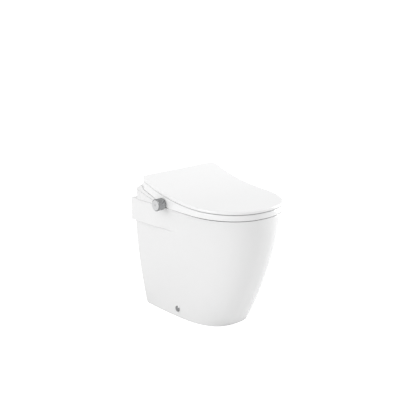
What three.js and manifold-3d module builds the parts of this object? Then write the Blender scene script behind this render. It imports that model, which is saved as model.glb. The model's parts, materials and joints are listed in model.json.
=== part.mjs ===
// A back-to-wall toilet pan with a bidet seat, in millimetres.
// +X is the sitter's left, -Y the front, +Z up. The wall is the plane y = WALL_Y and the floor is z = 0.
// Depths, written d, are distances out from the wall, so y = WALL_Y - d.
import * as THREE from "three";
import { mergeVertices } from "three/addons/utils/BufferGeometryUtils.js";
import Module from "manifold-3d";

const wasm = await Module();
wasm.setup();

// ---- driving dimensions ----
const WALL_Y = 270;
const GAP = 0.3; // between pieces that touch
const OVERRUN = 5; // how far a cut runs past the face it opens
const FAR = 300; // beyond every side of the part
const RUNNING = 0.3; // round a turning or sliding piece

// plan outline shared by the seat ring and the lid
const SEAT_REAR = 67;
const SEAT_FRONT = 539;
const SEAT_WIDEST = 329.4;
const SEAT_HALF_WIDTH = 180;
const SEAT_REAR_NARROWING = 1.9;
const SEAT_ROUNDNESS = 2.23;
const SEAT_CORNER = 22;

// heights of the stack: rim, seat ring, lid
const RIM_HEIGHT = 428;
const SKY = RIM_HEIGHT + 200; // above every piece
const RIM_GAP = 2.5;
const RING_FRONT_THICKNESS = 20.3;
const LID_GAP = 2.3;
const LID_THICKNESS = 10.3;
const LID_RISE = 59.7;
const LID_RISE_POWER = 3.5;
const RAMP_START = 222;
const RAMP_SLOPE = 0.315;

// pan: profile values at the foot and at the rim
const SEAT_OVERHANG = 0.9;
const PAN_FRONT = [389.9, SEAT_FRONT - SEAT_OVERHANG, 1.68];
const PAN_REAR_HALF = [104.2, 156.4, 1.89];
const PAN_HALF = [118.6, 178.6, 0.59];
const PAN_WIDEST = [215.6, 343.5];
const PAN_ROUNDNESS = [2.65, 2.21];
const PAN_WALL = 14;
const DECK_THICKNESS = 24;
const SHOULDER_HEIGHT = 86;
const SHOULDER_STEP = 5;
const SHOULDER_HALF = 173;
const SHOULDER_FADE = [150, 262];
const BOWL_REAR = 152;
const BOWL_FRONT = SEAT_FRONT - 35;
const BOWL_CENTRE = [(BOWL_FRONT + BOWL_REAR) / 2, 238];
const BOWL_HALF_LENGTH = [(BOWL_FRONT - BOWL_REAR) / 2, 52];
const BOWL_HALF_WIDTH = [140, 46];
const BOWL_FLOOR = 125;
const BOWL_WALL = 13;
const BOWL_ROUNDNESS = 2.2;
const TRAP_BORE = 27;
const TRAP_WALL = 10;
const OUTLET_HEIGHT = 185;
const OUTLET_DEPTH = 12;
const FLUSH_HEIGHT = RIM_HEIGHT - 76;
const FLUSH_BORE = 22;
const FLUSH_WALL = 9;
const WEB_THICKNESS = 14;
const WEB_HEIGHT = 60;
const FLUSH_REACH = 190;
const SLEEVE_SLACK = 0.9;
const COLLAR_WALL = 9;
const COLLAR_GRIP = 8;
const COLLAR_MOUTH = TRAP_BORE + 2;
const SEAL_WALL = 5;
const SEAL_GRIP = 14;
const SEAL_MOUTH = FLUSH_BORE - 3;

// floor fixing on each flank
const FIXING_DEPTH = 203;
const FIXING_HEIGHT = 34;
const FIXING_BORE = 5;
const FIXING_COUNTERBORE = 8.2;
const COUNTERBORE_DEPTH = 7;
const CAP_RADIUS = 11.5;
const CAP_THICKNESS = 3;
const CAP_BEVEL = 2;
const CAP_LIFT = 1.6;
const PLUG_REACH = 2.5;
const SCREW_LENGTH = 23;
const SCREW_HEAD = 4;
const BRACKET_WIDTH = 36;
const BRACKET_HEIGHT = 50;
const BRACKET_THICKNESS = 4;
const BRACKET_FOOT = 42;
const BRACKET_INSET = 5;

// seat bolts through the deck
const BOLT_DEPTH = 85;
const BOLT_SPACING = 155;
const BOLT_RADIUS = 4;
const BOLT_HEAD = 9;
const BOLT_HEAD_HEIGHT = 4;
const BOLT_REACH = 24;
const BOLT_X = BOLT_SPACING / 2;
const DECK_HOLE = 6.5;
const WASHER_RADIUS = 13;
const WASHER_THICKNESS = 5;
const NUT_RADIUS = BOLT_RADIUS + 4;
const NUT_HEIGHT = 11;
const WING_SPAN = 18;
const WING_HALF_THICKNESS = 2;
const WING_DROP = [3, 14];
const PLATE_THICKNESS = 2;
const PLATE_HALF = BOLT_X + 14.5;
const PLATE_DEPTH = [55, 115];

// hinge line and its lugs
const HINGE_DEPTH = 60;
const HINGE_HEIGHT = RIM_HEIGHT + 37;
const SEAT_LUG = [160, 171.5];
const LID_LUG = [148, 157];
const SEAT_LUG_RADIUS = 16;
const LID_LUG_RADIUS = 14;
const SHAFT_RADIUS = 5.8;
const SHAFT_TIP = 4;
const SHAFT_SQUARE = 8;
const DAMPER_RADIUS = 12.5;
const DAMPER_INNER = 78;
const DAMPER_OUTER = 142.6;
const SWEEP_RADIUS = 22.5;

// housing
const HOUSING_FRONT = 150;
const HOUSING_HALF = 178;
const COVER_HALF = 146;
const COVER_WALL = 2.5;
const COVER_FRONT_RADIUS = 88.5;
const TRAY_FLOOR = 2.5;
const TRAY_LIFT = 2.9;
const TRAY_BOTTOM = RIM_HEIGHT + TRAY_LIFT;
const TRAY_TOP = TRAY_BOTTOM + TRAY_FLOOR;
const TRAY_REAR = 44.6;
const WALL_FACE = 41.8;
const REAR_WALL = 2.5;
const CRADLES = [[84, 92], [134, 142]];
const CRADLE_HALF = 11;
const POST = [22, 26, 96, 116];
const POST_HEIGHT = 14;
const NOZZLE_MOUTH = [26, 139];
const BOLT_WAY = BOLT_HEAD + 2.5;
const LATCH_WAY = [0.6, 12];
const COVER_WINDOW = [24, 132, 23];
const ARM_END = 184;
const ARM_PLATE_END = 214;
const SIDE_PLATE = 4.5;
const NOSE_RADIUS = 12;
const NOSE_CENTRE_DEPTH = 51;
const NOSE_SLOPE = 0.583;
const PARTING_SLOPE = 0.257;
const PARTING_AT_HINGE = RIM_HEIGHT + 34.7;
const LID_CLEARANCE = 6;
const PARTING_GAP = 0.15;
const CROWN_INSET = 1.2;
const TAB = [120, 148];

// seat ring
const RING_SKIN = 3.2;
const RING_REAR = 152;
const RING_SOLID_END = 98;
const HOLE_REAR = 176;
const HOLE_FRONT = SEAT_FRONT - 79;
const HOLE_CENTRE = (HOLE_FRONT + HOLE_REAR) / 2;
const HOLE_HALF_LENGTH = (HOLE_FRONT - HOLE_REAR) / 2;
const HOLE_HALF_WIDTH = 108;
const HOLE_ROUNDNESS = 2.3;
const TUNNEL_INNER = 138;
const TUNNEL_END = 215;
const TUNNEL_RISE = 19;
const BASE_WALL = 3;
const BASE_LIFT = 0.2;
const MAT_MARGIN = 9;
const MAT_REAR = 160;
const MAT_THICKNESS = 1;
const BUFFER_RADIUS = 6;
const BUFFER_LENGTH = 24;
const BUFFER_HEIGHT = RIM_GAP + 4;
const REAR_BUFFER = [152, 262];
const FRONT_BUFFER = [112, SEAT_FRONT - 71];

// lid
const LID_SKIN = 3.8;
const LID_RIM = 5;
const LID_BUFFER = [105, SEAT_FRONT - 99];
const LID_BUFFER_RADIUS = 6;
const SKIRT_THICKNESS = 3.2;

// knob and mixing valve
const KNOB_DEPTH = 193;
const KNOB_HEIGHT = RIM_HEIGHT + 15;
const KNOB_RADIUS = 22;
const KNOB_START = 184.2;
const KNOB_END = 213;
const FACE_THICKNESS = 1.7;
const KNOB_WALL = 3;
const FACE_BEVEL = 0.8;
const FACE_MARGIN = 1.2;
const CENTRE_DOT = 1.8;
const KNOB_HUB = 8;
const KNOB_BACK = 5;
const SPINDLE_RADIUS = 3.5;
const SLEEVE_RADIUS = 6;
const SLEEVE_WAY = 1.6;
const VALVE_RADIUS = 9;
const VALVE_SPAN = [138.5, 172];
const BEZEL_RADIUS = 13;

// wash nozzles
const NOZZLE_TIP = [150, RIM_HEIGHT + 12];
const NOZZLE_SLOPE = THREE.MathUtils.degToRad(18);
const NOZZLE_RADIUS = 5.5;
const NOZZLE_LENGTH = 92;
const TIP_RADIUS = 6.2;
const TIP_LENGTH = 9;
const NOZZLE_SPACING = 18;
const GUIDE_HALF = [20, 8];
const GUIDE_SPAN = [-70, -12];
const GUIDE_SLIDE = 0.35;
const TIP_CONE = 3;
const JET = [5, 1.1];

// release button
const BUTTON_DEPTH = 106;
const BUTTON_HEIGHT = RIM_HEIGHT + 29;
const BUTTON_RADIUS = 4.2;
const BUTTON_PROUD = 1.6;
const BUTTON_SLIDE = 0.4;
const BUTTON_FLANGE = 1.6;
const BUTTON_REACH = 12;
const LATCH_HALF = [2.5, 3];
const LATCH_LEG = 4;
const LATCH_X = PLATE_HALF + 4.5;

// services inside the housing
const INLET_X = 120;
const INLET_HEIGHT = TRAY_TOP + 9.6;
const INLET_RADIUS = 8;
const INLET_BORE = INLET_RADIUS - 3;
const GLAND_X = 60;
const GLAND_RADIUS = 6;
const GLAND_BORE = GLAND_RADIUS - 2.6;
const WALL_HOLE = 0.4;
const FLANGE_SPAN = [38.4, 41.3];
const INLET_SPAN = [22, 50];
const GLAND_SPAN = [28, 49];
const SOLENOID = [106, 133, 94, 128];
const SOLENOID_HEIGHT = 17;
const SOLENOID_STUB = [6, 138];
const HEATER = [30, BOLT_X - BOLT_WAY, 50, 118];
const HEATER_HEIGHT = 27;
const BOARD_PLATE = [-74, -30, 86, 138];
const RELAY = [-70, -54, 92, 108];
const PROCESSOR = [-48, -36, 96, 130];
const CAPACITOR = [-62, 124];
const HOSE_DEPTH = 77;
const HOSE_HEIGHT = TRAY_TOP + 6.6;
const HOSE_RADIUS = 4;
const HOSE_END = 23.3;
const HOSE_HOLE = 5;
const ARM_LANE = 160;

const SIDES = [[-1, "right"], [1, "left"]];
const model = new THREE.Group();

// ---- finishes ----
const finish = (color, roughness, metalness) =>
  new THREE.MeshStandardMaterial({ color, roughness, metalness });
const CERAMIC = finish(0xf2f2f0, 0.08, 0);
const WHITE = finish(0xf5f5f4, 0.22, 0);
const CHROME = finish(0xd8dadc, 0.12, 1);
const SATIN = finish(0xd2d3d4, 0.3, 0.2);
const STEEL = finish(0xb4b6b8, 0.35, 1);
const RUBBER = finish(0xc9c9c7, 0.7, 0);
const GREY = finish(0x8d9094, 0.55, 0);
const DARK = finish(0x2b2d30, 0.5, 0);
const BRASS = finish(0xc9a35c, 0.35, 1);
const BOARD = finish(0x2f6b46, 0.5, 0);
const COPPER = finish(0xb8764a, 0.4, 0.8);

// ---- solids ----
function solidFrom(geometry) {
  const loose = geometry.index ? geometry.toNonIndexed() : geometry;
  const bare = new THREE.BufferGeometry();
  bare.setAttribute("position", loose.getAttribute("position"));
  const merged = mergeVertices(bare, 1e-4);
  const index = merged.index.array;
  const kept = [];
  for (let i = 0; i < index.length; i += 3) {
    const [a, b, c] = [index[i], index[i + 1], index[i + 2]];
    if (a !== b && b !== c && c !== a) kept.push(a, b, c);
  }
  const vertProperties = merged.attributes.position.array;
  return new wasm.Manifold(new wasm.Mesh({ numProp: 3, vertProperties, triVerts: new Uint32Array(kept) }));
}

function geometryOf(solid) {
  const mesh = solid.getMesh();
  const geometry = new THREE.BufferGeometry();
  const positions = new Float32Array(mesh.numVert * 3);
  for (let i = 0; i < mesh.numVert; i++) {
    positions.set(mesh.vertProperties.subarray(i * mesh.numProp, i * mesh.numProp + 3), i * 3);
  }
  geometry.setAttribute("position", new THREE.BufferAttribute(positions, 3));
  geometry.setIndex(new THREE.BufferAttribute(mesh.triVerts, 1));
  geometry.computeVertexNormals();
  return geometry;
}

function add(name, solid, material) {
  const mesh = new THREE.Mesh(geometryOf(solid), material);
  mesh.name = name;
  model.add(mesh);
}

const union = (first, ...rest) => rest.reduce((sum, next) => sum.add(next), first);
const cut = (first, ...rest) => rest.reduce((left, next) => left.subtract(next), first);

// A box between two x values, two depths and two heights.
function box(x0, x1, d0, d1, z0, z1) {
  const geometry = new THREE.BoxGeometry(x1 - x0, d1 - d0, z1 - z0);
  geometry.translate((x0 + x1) / 2, WALL_Y - (d0 + d1) / 2, (z0 + z1) / 2);
  return solidFrom(geometry);
}

// The same box on the +X side (side 1) or on the -X side (side -1).
function sideBox(side, x0, x1, d0, d1, z0, z1) {
  return side > 0 ? box(x0, x1, d0, d1, z0, z1) : box(-x1, -x0, d0, d1, z0, z1);
}

// A round bar between two points given as [x, depth, z].
function rod(from, to, radius, sides = 20, endRadius = radius) {
  const a = new THREE.Vector3(from[0], WALL_Y - from[1], from[2]);
  const b = new THREE.Vector3(to[0], WALL_Y - to[1], to[2]);
  const along = b.clone().sub(a);
  const geometry = new THREE.CylinderGeometry(endRadius, radius, along.length(), sides);
  const up = new THREE.Vector3(0, 1, 0);
  const turn = new THREE.Quaternion().setFromUnitVectors(up, along.clone().normalize());
  geometry.applyQuaternion(turn);
  geometry.translate(...a.add(b).multiplyScalar(0.5).toArray());
  return solidFrom(geometry);
}

const rodX = (x0, x1, d, z, radius, sides) => rod([x0, d, z], [x1, d, z], radius, sides);
const rodZ = (x, d, z0, z1, radius, sides) => rod([x, d, z0], [x, d, z1], radius, sides);

// A side profile, points [depth, z], pushed along X from x0 to x1.
function alongX(points, x0, x1) {
  const shape = new THREE.Shape(points.map(([d, z]) => new THREE.Vector2(WALL_Y - d, z)));
  const geometry = new THREE.ExtrudeGeometry(shape, { depth: x1 - x0, bevelEnabled: false });
  const basis = new THREE.Matrix4().makeBasis(
    new THREE.Vector3(0, 1, 0),
    new THREE.Vector3(0, 0, 1),
    new THREE.Vector3(1, 0, 0),
  );
  geometry.applyMatrix4(basis);
  geometry.translate(x0, 0, 0);
  return solidFrom(geometry);
}

const alongSide = (points, side, x0, x1) => (side > 0 ? alongX(points, x0, x1) : alongX(points, -x1, -x0));

// A plan outline, points [x, depth], pushed up from z0 to z1.
function upright(points, z0 = 0, z1 = SKY) {
  const shape = new THREE.Shape(points.map(([x, d]) => new THREE.Vector2(x, WALL_Y - d)));
  const geometry = new THREE.ExtrudeGeometry(shape, { depth: z1 - z0, bevelEnabled: false });
  geometry.translate(0, 0, z0);
  return solidFrom(geometry);
}

// A closed outline moved inwards by a distance (outwards if negative), each corner along its mitre.
function inset(points, distance) {
  let area = 0;
  points.forEach(([a, b], i) => {
    const [c, e] = points[(i + 1) % points.length];
    area += a * e - c * b;
  });
  const turn = Math.sign(area) * distance;
  return points.map((here, i) => {
    const before = points[(i + points.length - 1) % points.length];
    const after = points[(i + 1) % points.length];
    const p = new THREE.Vector2(here[0] - before[0], here[1] - before[1]).normalize();
    const q = new THREE.Vector2(after[0] - here[0], after[1] - here[1]).normalize();
    const scale = turn / Math.max(1 + p.dot(q), 0.5);
    return [here[0] - (p.y + q.y) * scale, here[1] + (p.x + q.x) * scale];
  });
}

// Evenly spaced values from a to b.
const spread = (a, b, steps) => Array.from({ length: steps + 1 }, (_, i) => a + ((b - a) * i) / steps);
const fromFoot = ([foot, rim, power], s) => foot + (rim - foot) * (1 - (1 - s) ** power);
const straight = ([a, b], s) => a + (b - a) * s;

// A round bar along a curve.
function tubeAlong(extrudePath, radius, sides, steps) {
  const circle = spread(0, 2 * Math.PI, sides).slice(1).map((a) =>
    new THREE.Vector2(radius * Math.cos(a), radius * Math.sin(a)));
  const settings = { steps, extrudePath, bevelEnabled: false };
  return solidFrom(new THREE.ExtrudeGeometry(new THREE.Shape(circle), settings));
}

// A tube body lofted through levels: ring(level) gives points [x, depth] in one order, level gives z.
function loft(levels, ring) {
  const rings = levels.map((z) => ring(z));
  const columns = rings[0].length;
  const geometry = new THREE.CylinderGeometry(1, 1, 1, columns, levels.length - 1);
  const position = geometry.getAttribute("position");
  for (let i = 0; i < position.count; i++) {
    const [x, y, z] = [position.getX(i), position.getY(i), position.getZ(i)];
    const row = Math.round((y + 0.5) * (levels.length - 1));
    const points = rings[row];
    if (Math.hypot(x, z) < 0.5) {
      const middle = points.reduce((sum, [, d]) => sum + d, 0) / columns;
      position.setXYZ(i, 0, WALL_Y - middle, levels[row]);
    } else {
      const column = Math.round((Math.atan2(x, z) / (2 * Math.PI)) * columns + columns) % columns;
      const [px, pd] = points[column];
      position.setXYZ(i, px, WALL_Y - pd, levels[row]);
    }
  }
  return solidFrom(geometry);
}

// Both sides of an outline given by one half, points [half width, depth] from the front tip to the rear.
// The ring runs tip, +X side, rear, -X side.
const mirrored = (points) => points.reverse().map(([w, d]) => [-w, d]);
const bothSides = (half) => [...half, ...mirrored(half.slice(1))];

// A quarter of a superellipse from its tip on the centre line to its widest point.
function quarter(halfWidth, length, centre, power, steps) {
  return spread(Math.PI / 2, 0, steps).map((a) => [
    halfWidth * Math.max(Math.cos(a), 0) ** (2 / power),
    centre + length * Math.max(Math.sin(a), 0) ** (2 / power),
  ]);
}

function oval(halfWidth, halfLength, centre, power, steps) {
  const front = quarter(halfWidth, halfLength, centre, power, steps);
  const rear = quarter(halfWidth, -halfLength, centre, power, steps).reverse();
  const half = [...front, ...rear.slice(1)];
  return [...half, ...mirrored(half.slice(1, -1))];
}

// ---- shared surfaces of the seat and lid ----
const seatHalfAt = (d) =>
  SEAT_HALF_WIDTH - SEAT_REAR_NARROWING * (Math.max(SEAT_WIDEST - d, 0) / (SEAT_WIDEST - SEAT_REAR)) ** 2;

function seatOutline() {
  const front = quarter(SEAT_HALF_WIDTH, SEAT_FRONT - SEAT_WIDEST, SEAT_WIDEST, SEAT_ROUNDNESS, 15);
  const cornerDepth = SEAT_REAR + SEAT_CORNER;
  const side = spread(SEAT_WIDEST, cornerDepth, 4).slice(1).map((d) => [seatHalfAt(d), d]);
  const cornerX = seatHalfAt(cornerDepth) - SEAT_CORNER;
  const corner = spread(0, Math.PI / 2, 5).slice(1).map((a) => [
    cornerX + SEAT_CORNER * Math.cos(a),
    cornerDepth - SEAT_CORNER * Math.sin(a),
  ]);
  return bothSides([...front, ...side, ...corner]);
}

const lidTop = (d) =>
  RIM_HEIGHT + RIM_GAP + RING_FRONT_THICKNESS + LID_GAP + LID_THICKNESS +
  LID_RISE * (Math.max(SEAT_FRONT - d, 0) / (SEAT_FRONT - SEAT_REAR)) ** LID_RISE_POWER;
const lidBottom = (d) => lidTop(d) - LID_THICKNESS;
const seatTop = (d) => lidBottom(d) - LID_GAP;
const seatBottom = (d) => RIM_HEIGHT + RIM_GAP + RAMP_SLOPE * Math.max(RAMP_START - d, 0);
const partingLine = (d) => PARTING_AT_HINGE + PARTING_SLOPE * (HINGE_DEPTH - d);

// The slab between two height functions over the seat's depth.
function slab(top, bottom, rear = SEAT_REAR - 5, front = SEAT_FRONT + 5) {
  const depths = [...spread(rear, RAMP_START, 9), ...spread(RAMP_START, front, 7).slice(1)];
  const upper = depths.map((d) => [d, top(d)]);
  const lower = depths.map((d) => [d, bottom(d)]).reverse();
  return alongX([...upper, ...lower], -SEAT_HALF_WIDTH - 20, SEAT_HALF_WIDTH + 20);
}

const bufferPlaces = [REAR_BUFFER, FRONT_BUFFER].flatMap(([x, d]) => [[-x, d], [x, d]]);
const SEAT_PLAN = seatOutline();
const HOLE_PLAN = oval(HOLE_HALF_WIDTH, HOLE_HALF_LENGTH, HOLE_CENTRE, HOLE_ROUNDNESS, 9);

// ---- pan ----
// The pan's outline at a height: straight at the wall, swelling to its widest, then a superellipse front.
// Near the rim a shoulder stands out at the rear and fades into the flank.
function panHalf(z, wall, rearDepth) {
  const s = THREE.MathUtils.clamp(z / RIM_HEIGHT, 0, 1);
  const front = fromFoot(PAN_FRONT, s) - wall;
  const rearHalf = fromFoot(PAN_REAR_HALF, s) - wall;
  const half = fromFoot(PAN_HALF, s) - wall;
  const widest = straight(PAN_WIDEST, s);
  const power = straight(PAN_ROUNDNESS, s);
  const nose = quarter(half, front - widest, widest, power, 13);
  const shoulder = THREE.MathUtils.smoothstep(z, RIM_HEIGHT - SHOULDER_HEIGHT - SHOULDER_STEP,
    RIM_HEIGHT - SHOULDER_HEIGHT);
  const side = spread(widest, Math.max(rearDepth, 0), 9).slice(1).map((d) => {
    const plain = half - (half - rearHalf) * ((widest - d) / widest) ** 2;
    const fade = 1 - THREE.MathUtils.smoothstep(d, ...SHOULDER_FADE);
    return [plain + Math.max(SHOULDER_HALF - wall - plain, 0) * fade * shoulder, d];
  });
  if (rearDepth < 0) side.push([side.at(-1)[0], rearDepth]);
  return [...nose, ...side];
}

function panLoft(wall, levels, rearDepth) {
  return loft(levels, (z) => bothSides(panHalf(z, wall, rearDepth)));
}

function bowlLoft(wall, top) {
  const levels = [...spread(BOWL_FLOOR - wall, RIM_HEIGHT, 8), top];
  return loft(levels, (z) => {
    const q = THREE.MathUtils.clamp((RIM_HEIGHT - z) / (RIM_HEIGHT - BOWL_FLOOR), 0, 1);
    const swell = Math.sqrt(1 - q ** BOWL_ROUNDNESS);
    const halfLength = BOWL_HALF_LENGTH[1] + (BOWL_HALF_LENGTH[0] - BOWL_HALF_LENGTH[1]) * swell + wall;
    const halfWidth = BOWL_HALF_WIDTH[1] + (BOWL_HALF_WIDTH[0] - BOWL_HALF_WIDTH[1]) * swell + wall;
    const centre = straight(BOWL_CENTRE, q ** 1.3);
    return oval(halfWidth, halfLength, centre, BOWL_ROUNDNESS, 7);
  });
}

// The trapway: down out of the bowl, up over the weir and back to the outlet spigot.
function trapTube(radius, endDepth) {
  const route = [
    [262, 172], [232, 136], [190, 126], [152, 152], [128, 196],
    [100, 222], [70, 208], [46, OUTLET_HEIGHT + 5], [28, OUTLET_HEIGHT], [endDepth, OUTLET_HEIGHT],
  ];
  const path = new THREE.CatmullRomCurve3(route.map(([d, z]) => new THREE.Vector3(0, WALL_Y - d, z)));
  return tubeAlong(path, radius, 12, 17);
}

const flankAt = (z) => {
  const half = panHalf(z, 0, 0);
  const beyond = half.findIndex(([, d]) => d < FIXING_DEPTH);
  const [[w0, d0], [w1, d1]] = [half[beyond - 1], half[beyond]];
  return w0 + ((w1 - w0) * (d0 - FIXING_DEPTH)) / (d0 - d1);
};
const FLANK = flankAt(FIXING_HEIGHT);

// The casting is made of four cast pieces: the skirt with its deck, the bowl, the trapway and the flush way.
function pan() {
  const shoulderFoot = RIM_HEIGHT - SHOULDER_HEIGHT - SHOULDER_STEP;
  const deck = RIM_HEIGHT - DECK_THICKNESS;
  const levels = [...spread(0, shoulderFoot, 6), shoulderFoot + SHOULDER_STEP, deck - 20, RIM_HEIGHT];
  const outer = panLoft(0, levels, 0);
  const hollow = cut(
    panLoft(PAN_WALL, [-OVERRUN, ...spread(0, shoulderFoot, 4), deck], -OVERRUN),
    box(-FAR, FAR, WALL_Y - WEB_THICKNESS / 2, WALL_Y + WEB_THICKNESS / 2, -2 * OVERRUN, WEB_HEIGHT),
  );
  const screwWays = [-1, 1].flatMap((side) => [
    rodX(side * (FLANK - 40), side * (FLANK + 20), FIXING_DEPTH, FIXING_HEIGHT, FIXING_BORE, 16),
    rodX(side * (FLANK - COUNTERBORE_DEPTH), side * (FLANK + 20), FIXING_DEPTH, FIXING_HEIGHT,
      FIXING_COUNTERBORE, 16),
    rodZ(side * BOLT_X, BOLT_DEPTH, deck - OVERRUN, RIM_HEIGHT + OVERRUN, DECK_HOLE, 16),
  ]);
  const bowlSeat = bowlLoft(BOWL_WALL + GAP, RIM_HEIGHT + OVERRUN);
  add("pan", cut(outer, hollow, bowlSeat, ...screwWays), CERAMIC);

  const flushLine = (end, radius) => rod([0, end, FLUSH_HEIGHT], [0, FLUSH_REACH, FLUSH_HEIGHT], radius);
  const waterWays = [trapTube(TRAP_BORE, -OVERRUN), flushLine(-OVERRUN, FLUSH_BORE)];
  const bowlInside = bowlLoft(0, RIM_HEIGHT + OVERRUN);
  const shell = bowlLoft(BOWL_WALL, RIM_HEIGHT + 2 * OVERRUN)
    .intersect(box(-FAR, FAR, 0, SEAT_FRONT, 0, RIM_HEIGHT));
  add("bowl", cut(shell, bowlInside, ...waterWays), CERAMIC);
  add("trapway", cut(trapTube(TRAP_BORE + TRAP_WALL, OUTLET_DEPTH), bowlSeat, waterWays[0]), CERAMIC);
  add("flush_way", cut(flushLine(OUTLET_DEPTH, FLUSH_BORE + FLUSH_WALL), bowlSeat, waterWays[1]), CERAMIC);
}

// A rubber sleeve from the wall onto the end of one of the pan's two spigots.
function sleeve(name, height, spigotRadius, wall, grip, mouth) {
  const line = (from, to, radius) => rod([0, from, height], [0, to, height], radius);
  add(name, cut(
    line(1, OUTLET_DEPTH + grip, spigotRadius + GAP + wall),
    line(OUTLET_DEPTH - GAP, OUTLET_DEPTH + grip + OVERRUN, spigotRadius + SLEEVE_SLACK),
    line(-OVERRUN, OUTLET_DEPTH + OVERRUN, mouth),
  ), RUBBER);
}

function floorBracket(side, name) {
  const face = FLANK - PAN_WALL - BRACKET_INSET;
  const d0 = FIXING_DEPTH - BRACKET_WIDTH / 2;
  const d1 = FIXING_DEPTH + BRACKET_WIDTH / 2;
  const leg = sideBox(side, face - BRACKET_THICKNESS, face, d0, d1, 0, BRACKET_HEIGHT);
  const foot = sideBox(side, face - BRACKET_FOOT, face, d0, d1, 0, BRACKET_THICKNESS);
  const screwHole = rodX(side * (face - BRACKET_THICKNESS - OVERRUN), side * (face + OVERRUN), FIXING_DEPTH,
    FIXING_HEIGHT, FIXING_BORE, 16);
  const floorHole = rodZ(side * (face - BRACKET_FOOT / 2), FIXING_DEPTH, -OVERRUN,
    BRACKET_THICKNESS + OVERRUN, FIXING_BORE, 16);
  add(`floor_bracket_${name}`, cut(union(leg, foot), screwHole, floorHole), STEEL);
}

function sideFixing(side, name) {
  const bar = (from, to, radius, sides) =>
    rodX(side * (FLANK + from), side * (FLANK + to), FIXING_DEPTH, FIXING_HEIGHT, radius, sides);
  const headSeat = GAP - COUNTERBORE_DEPTH;
  add(`side_screw_${name}`, union(
    bar(headSeat - SCREW_LENGTH, headSeat + 1, FIXING_BORE - 1, 16),
    bar(headSeat, headSeat + SCREW_HEAD, FIXING_COUNTERBORE - 0.7, 16),
  ), STEEL);
  add(`side_cap_${name}`, union(
    bar(-PLUG_REACH, CAP_LIFT + 0.4, FIXING_COUNTERBORE - 0.5),
    rod([side * (FLANK + CAP_LIFT), FIXING_DEPTH, FIXING_HEIGHT],
      [side * (FLANK + CAP_LIFT + CAP_THICKNESS), FIXING_DEPTH, FIXING_HEIGHT],
      CAP_RADIUS, 20, CAP_RADIUS - CAP_BEVEL),
  ), CHROME);
}

function panFittings() {
  sleeve("outlet_collar", OUTLET_HEIGHT, TRAP_BORE + TRAP_WALL, COLLAR_WALL, COLLAR_GRIP, COLLAR_MOUTH);
  sleeve("flush_inlet_seal", FLUSH_HEIGHT, FLUSH_BORE + FLUSH_WALL, SEAL_WALL, SEAL_GRIP, SEAL_MOUTH);
  for (const [side, name] of SIDES) {
    floorBracket(side, name);
    sideFixing(side, name);
  }
}

// ---- fixing of the seat to the deck ----
function seatFixing() {
  const plateBottom = RIM_HEIGHT + GAP;
  const plateTop = plateBottom + PLATE_THICKNESS;
  const headBottom = plateTop + GAP;
  const washerTop = RIM_HEIGHT - DECK_THICKNESS - GAP;
  const washerBottom = washerTop - WASHER_THICKNESS;
  const nutTop = washerBottom - GAP;
  const shankWay = (x, z0, z1, clearance) =>
    rodZ(x, BOLT_DEPTH, z0 - OVERRUN, z1 + OVERRUN, BOLT_RADIUS + clearance, 12);
  const plate = box(-PLATE_HALF, PLATE_HALF, ...PLATE_DEPTH, plateBottom, plateTop);
  const plateHoles = [-BOLT_X, BOLT_X].map((x) => shankWay(x, plateBottom, plateTop, 0.5));
  add("mounting_plate", cut(plate, ...plateHoles), STEEL);
  for (const [side, name] of SIDES) {
    const x = side * BOLT_X;
    add(`seat_bolt_${name}`, union(
      rodZ(x, BOLT_DEPTH, headBottom, headBottom + BOLT_HEAD_HEIGHT, BOLT_HEAD),
      rodZ(x, BOLT_DEPTH, washerTop + GAP - BOLT_REACH, headBottom + 1, BOLT_RADIUS, 12),
    ), STEEL);
    add(`bolt_washer_${name}`, cut(
      rod([x, BOLT_DEPTH, washerBottom], [x, BOLT_DEPTH, washerTop], WASHER_RADIUS - 3, 20, WASHER_RADIUS),
      shankWay(x, washerBottom, washerTop, GAP),
    ), RUBBER);
    add(`wing_nut_${name}`, cut(
      union(
        rodZ(x, BOLT_DEPTH, nutTop - NUT_HEIGHT, nutTop, NUT_RADIUS),
        box(x - WING_SPAN, x + WING_SPAN, BOLT_DEPTH - WING_HALF_THICKNESS, BOLT_DEPTH + WING_HALF_THICKNESS,
          nutTop - WING_DROP[1], nutTop - WING_DROP[0]),
      ),
      shankWay(x, nutTop - WING_DROP[1], nutTop, GAP),
    ), GREY);
  }
}

// ---- bidet base ----
// The housing's outline seen from the side: leaning back, round nose, slope, then under the seat's edge.
function sideProfile() {
  const nose = spread(187, 125, 5).map((degrees) => {
    const a = THREE.MathUtils.degToRad(degrees);
    return [NOSE_CENTRE_DEPTH + NOSE_RADIUS * Math.cos(a), HINGE_HEIGHT + NOSE_RADIUS * Math.sin(a)];
  });
  const crown = spread(95, 42, 4).map((degrees) => {
    const a = THREE.MathUtils.degToRad(degrees);
    const r = SWEEP_RADIUS - CROWN_INSET;
    return [HINGE_DEPTH + r * Math.cos(a), HINGE_HEIGHT - 1 + r * Math.sin(a)];
  });
  const edge = spread(82, ARM_END, 4).map((d) => [d, seatBottom(d) - RIM_GAP]);
  return [[TRAY_REAR + 0.2, TRAY_BOTTOM], ...nose, ...crown, ...edge, [ARM_END, TRAY_BOTTOM]];
}

function aboveParting(shift) {
  const end = ARM_END + 40;
  const points = [[0, partingLine(0) + shift], [end, partingLine(end) + shift], [end, SKY], [0, SKY]];
  return alongX(points, -HOUSING_HALF - OVERRUN, HOUSING_HALF + OVERRUN);
}

// The ways for the water inlet and the cord gland, through the tray's rear wall and the cover.
const serviceWays = () => [[INLET_X, INLET_RADIUS], [GLAND_X, GLAND_RADIUS]].map(([x, radius]) =>
  rod([x, WALL_FACE - 2 * OVERRUN, INLET_HEIGHT], [x, INLET_SPAN[1], INLET_HEIGHT], radius + WALL_HOLE));

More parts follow.
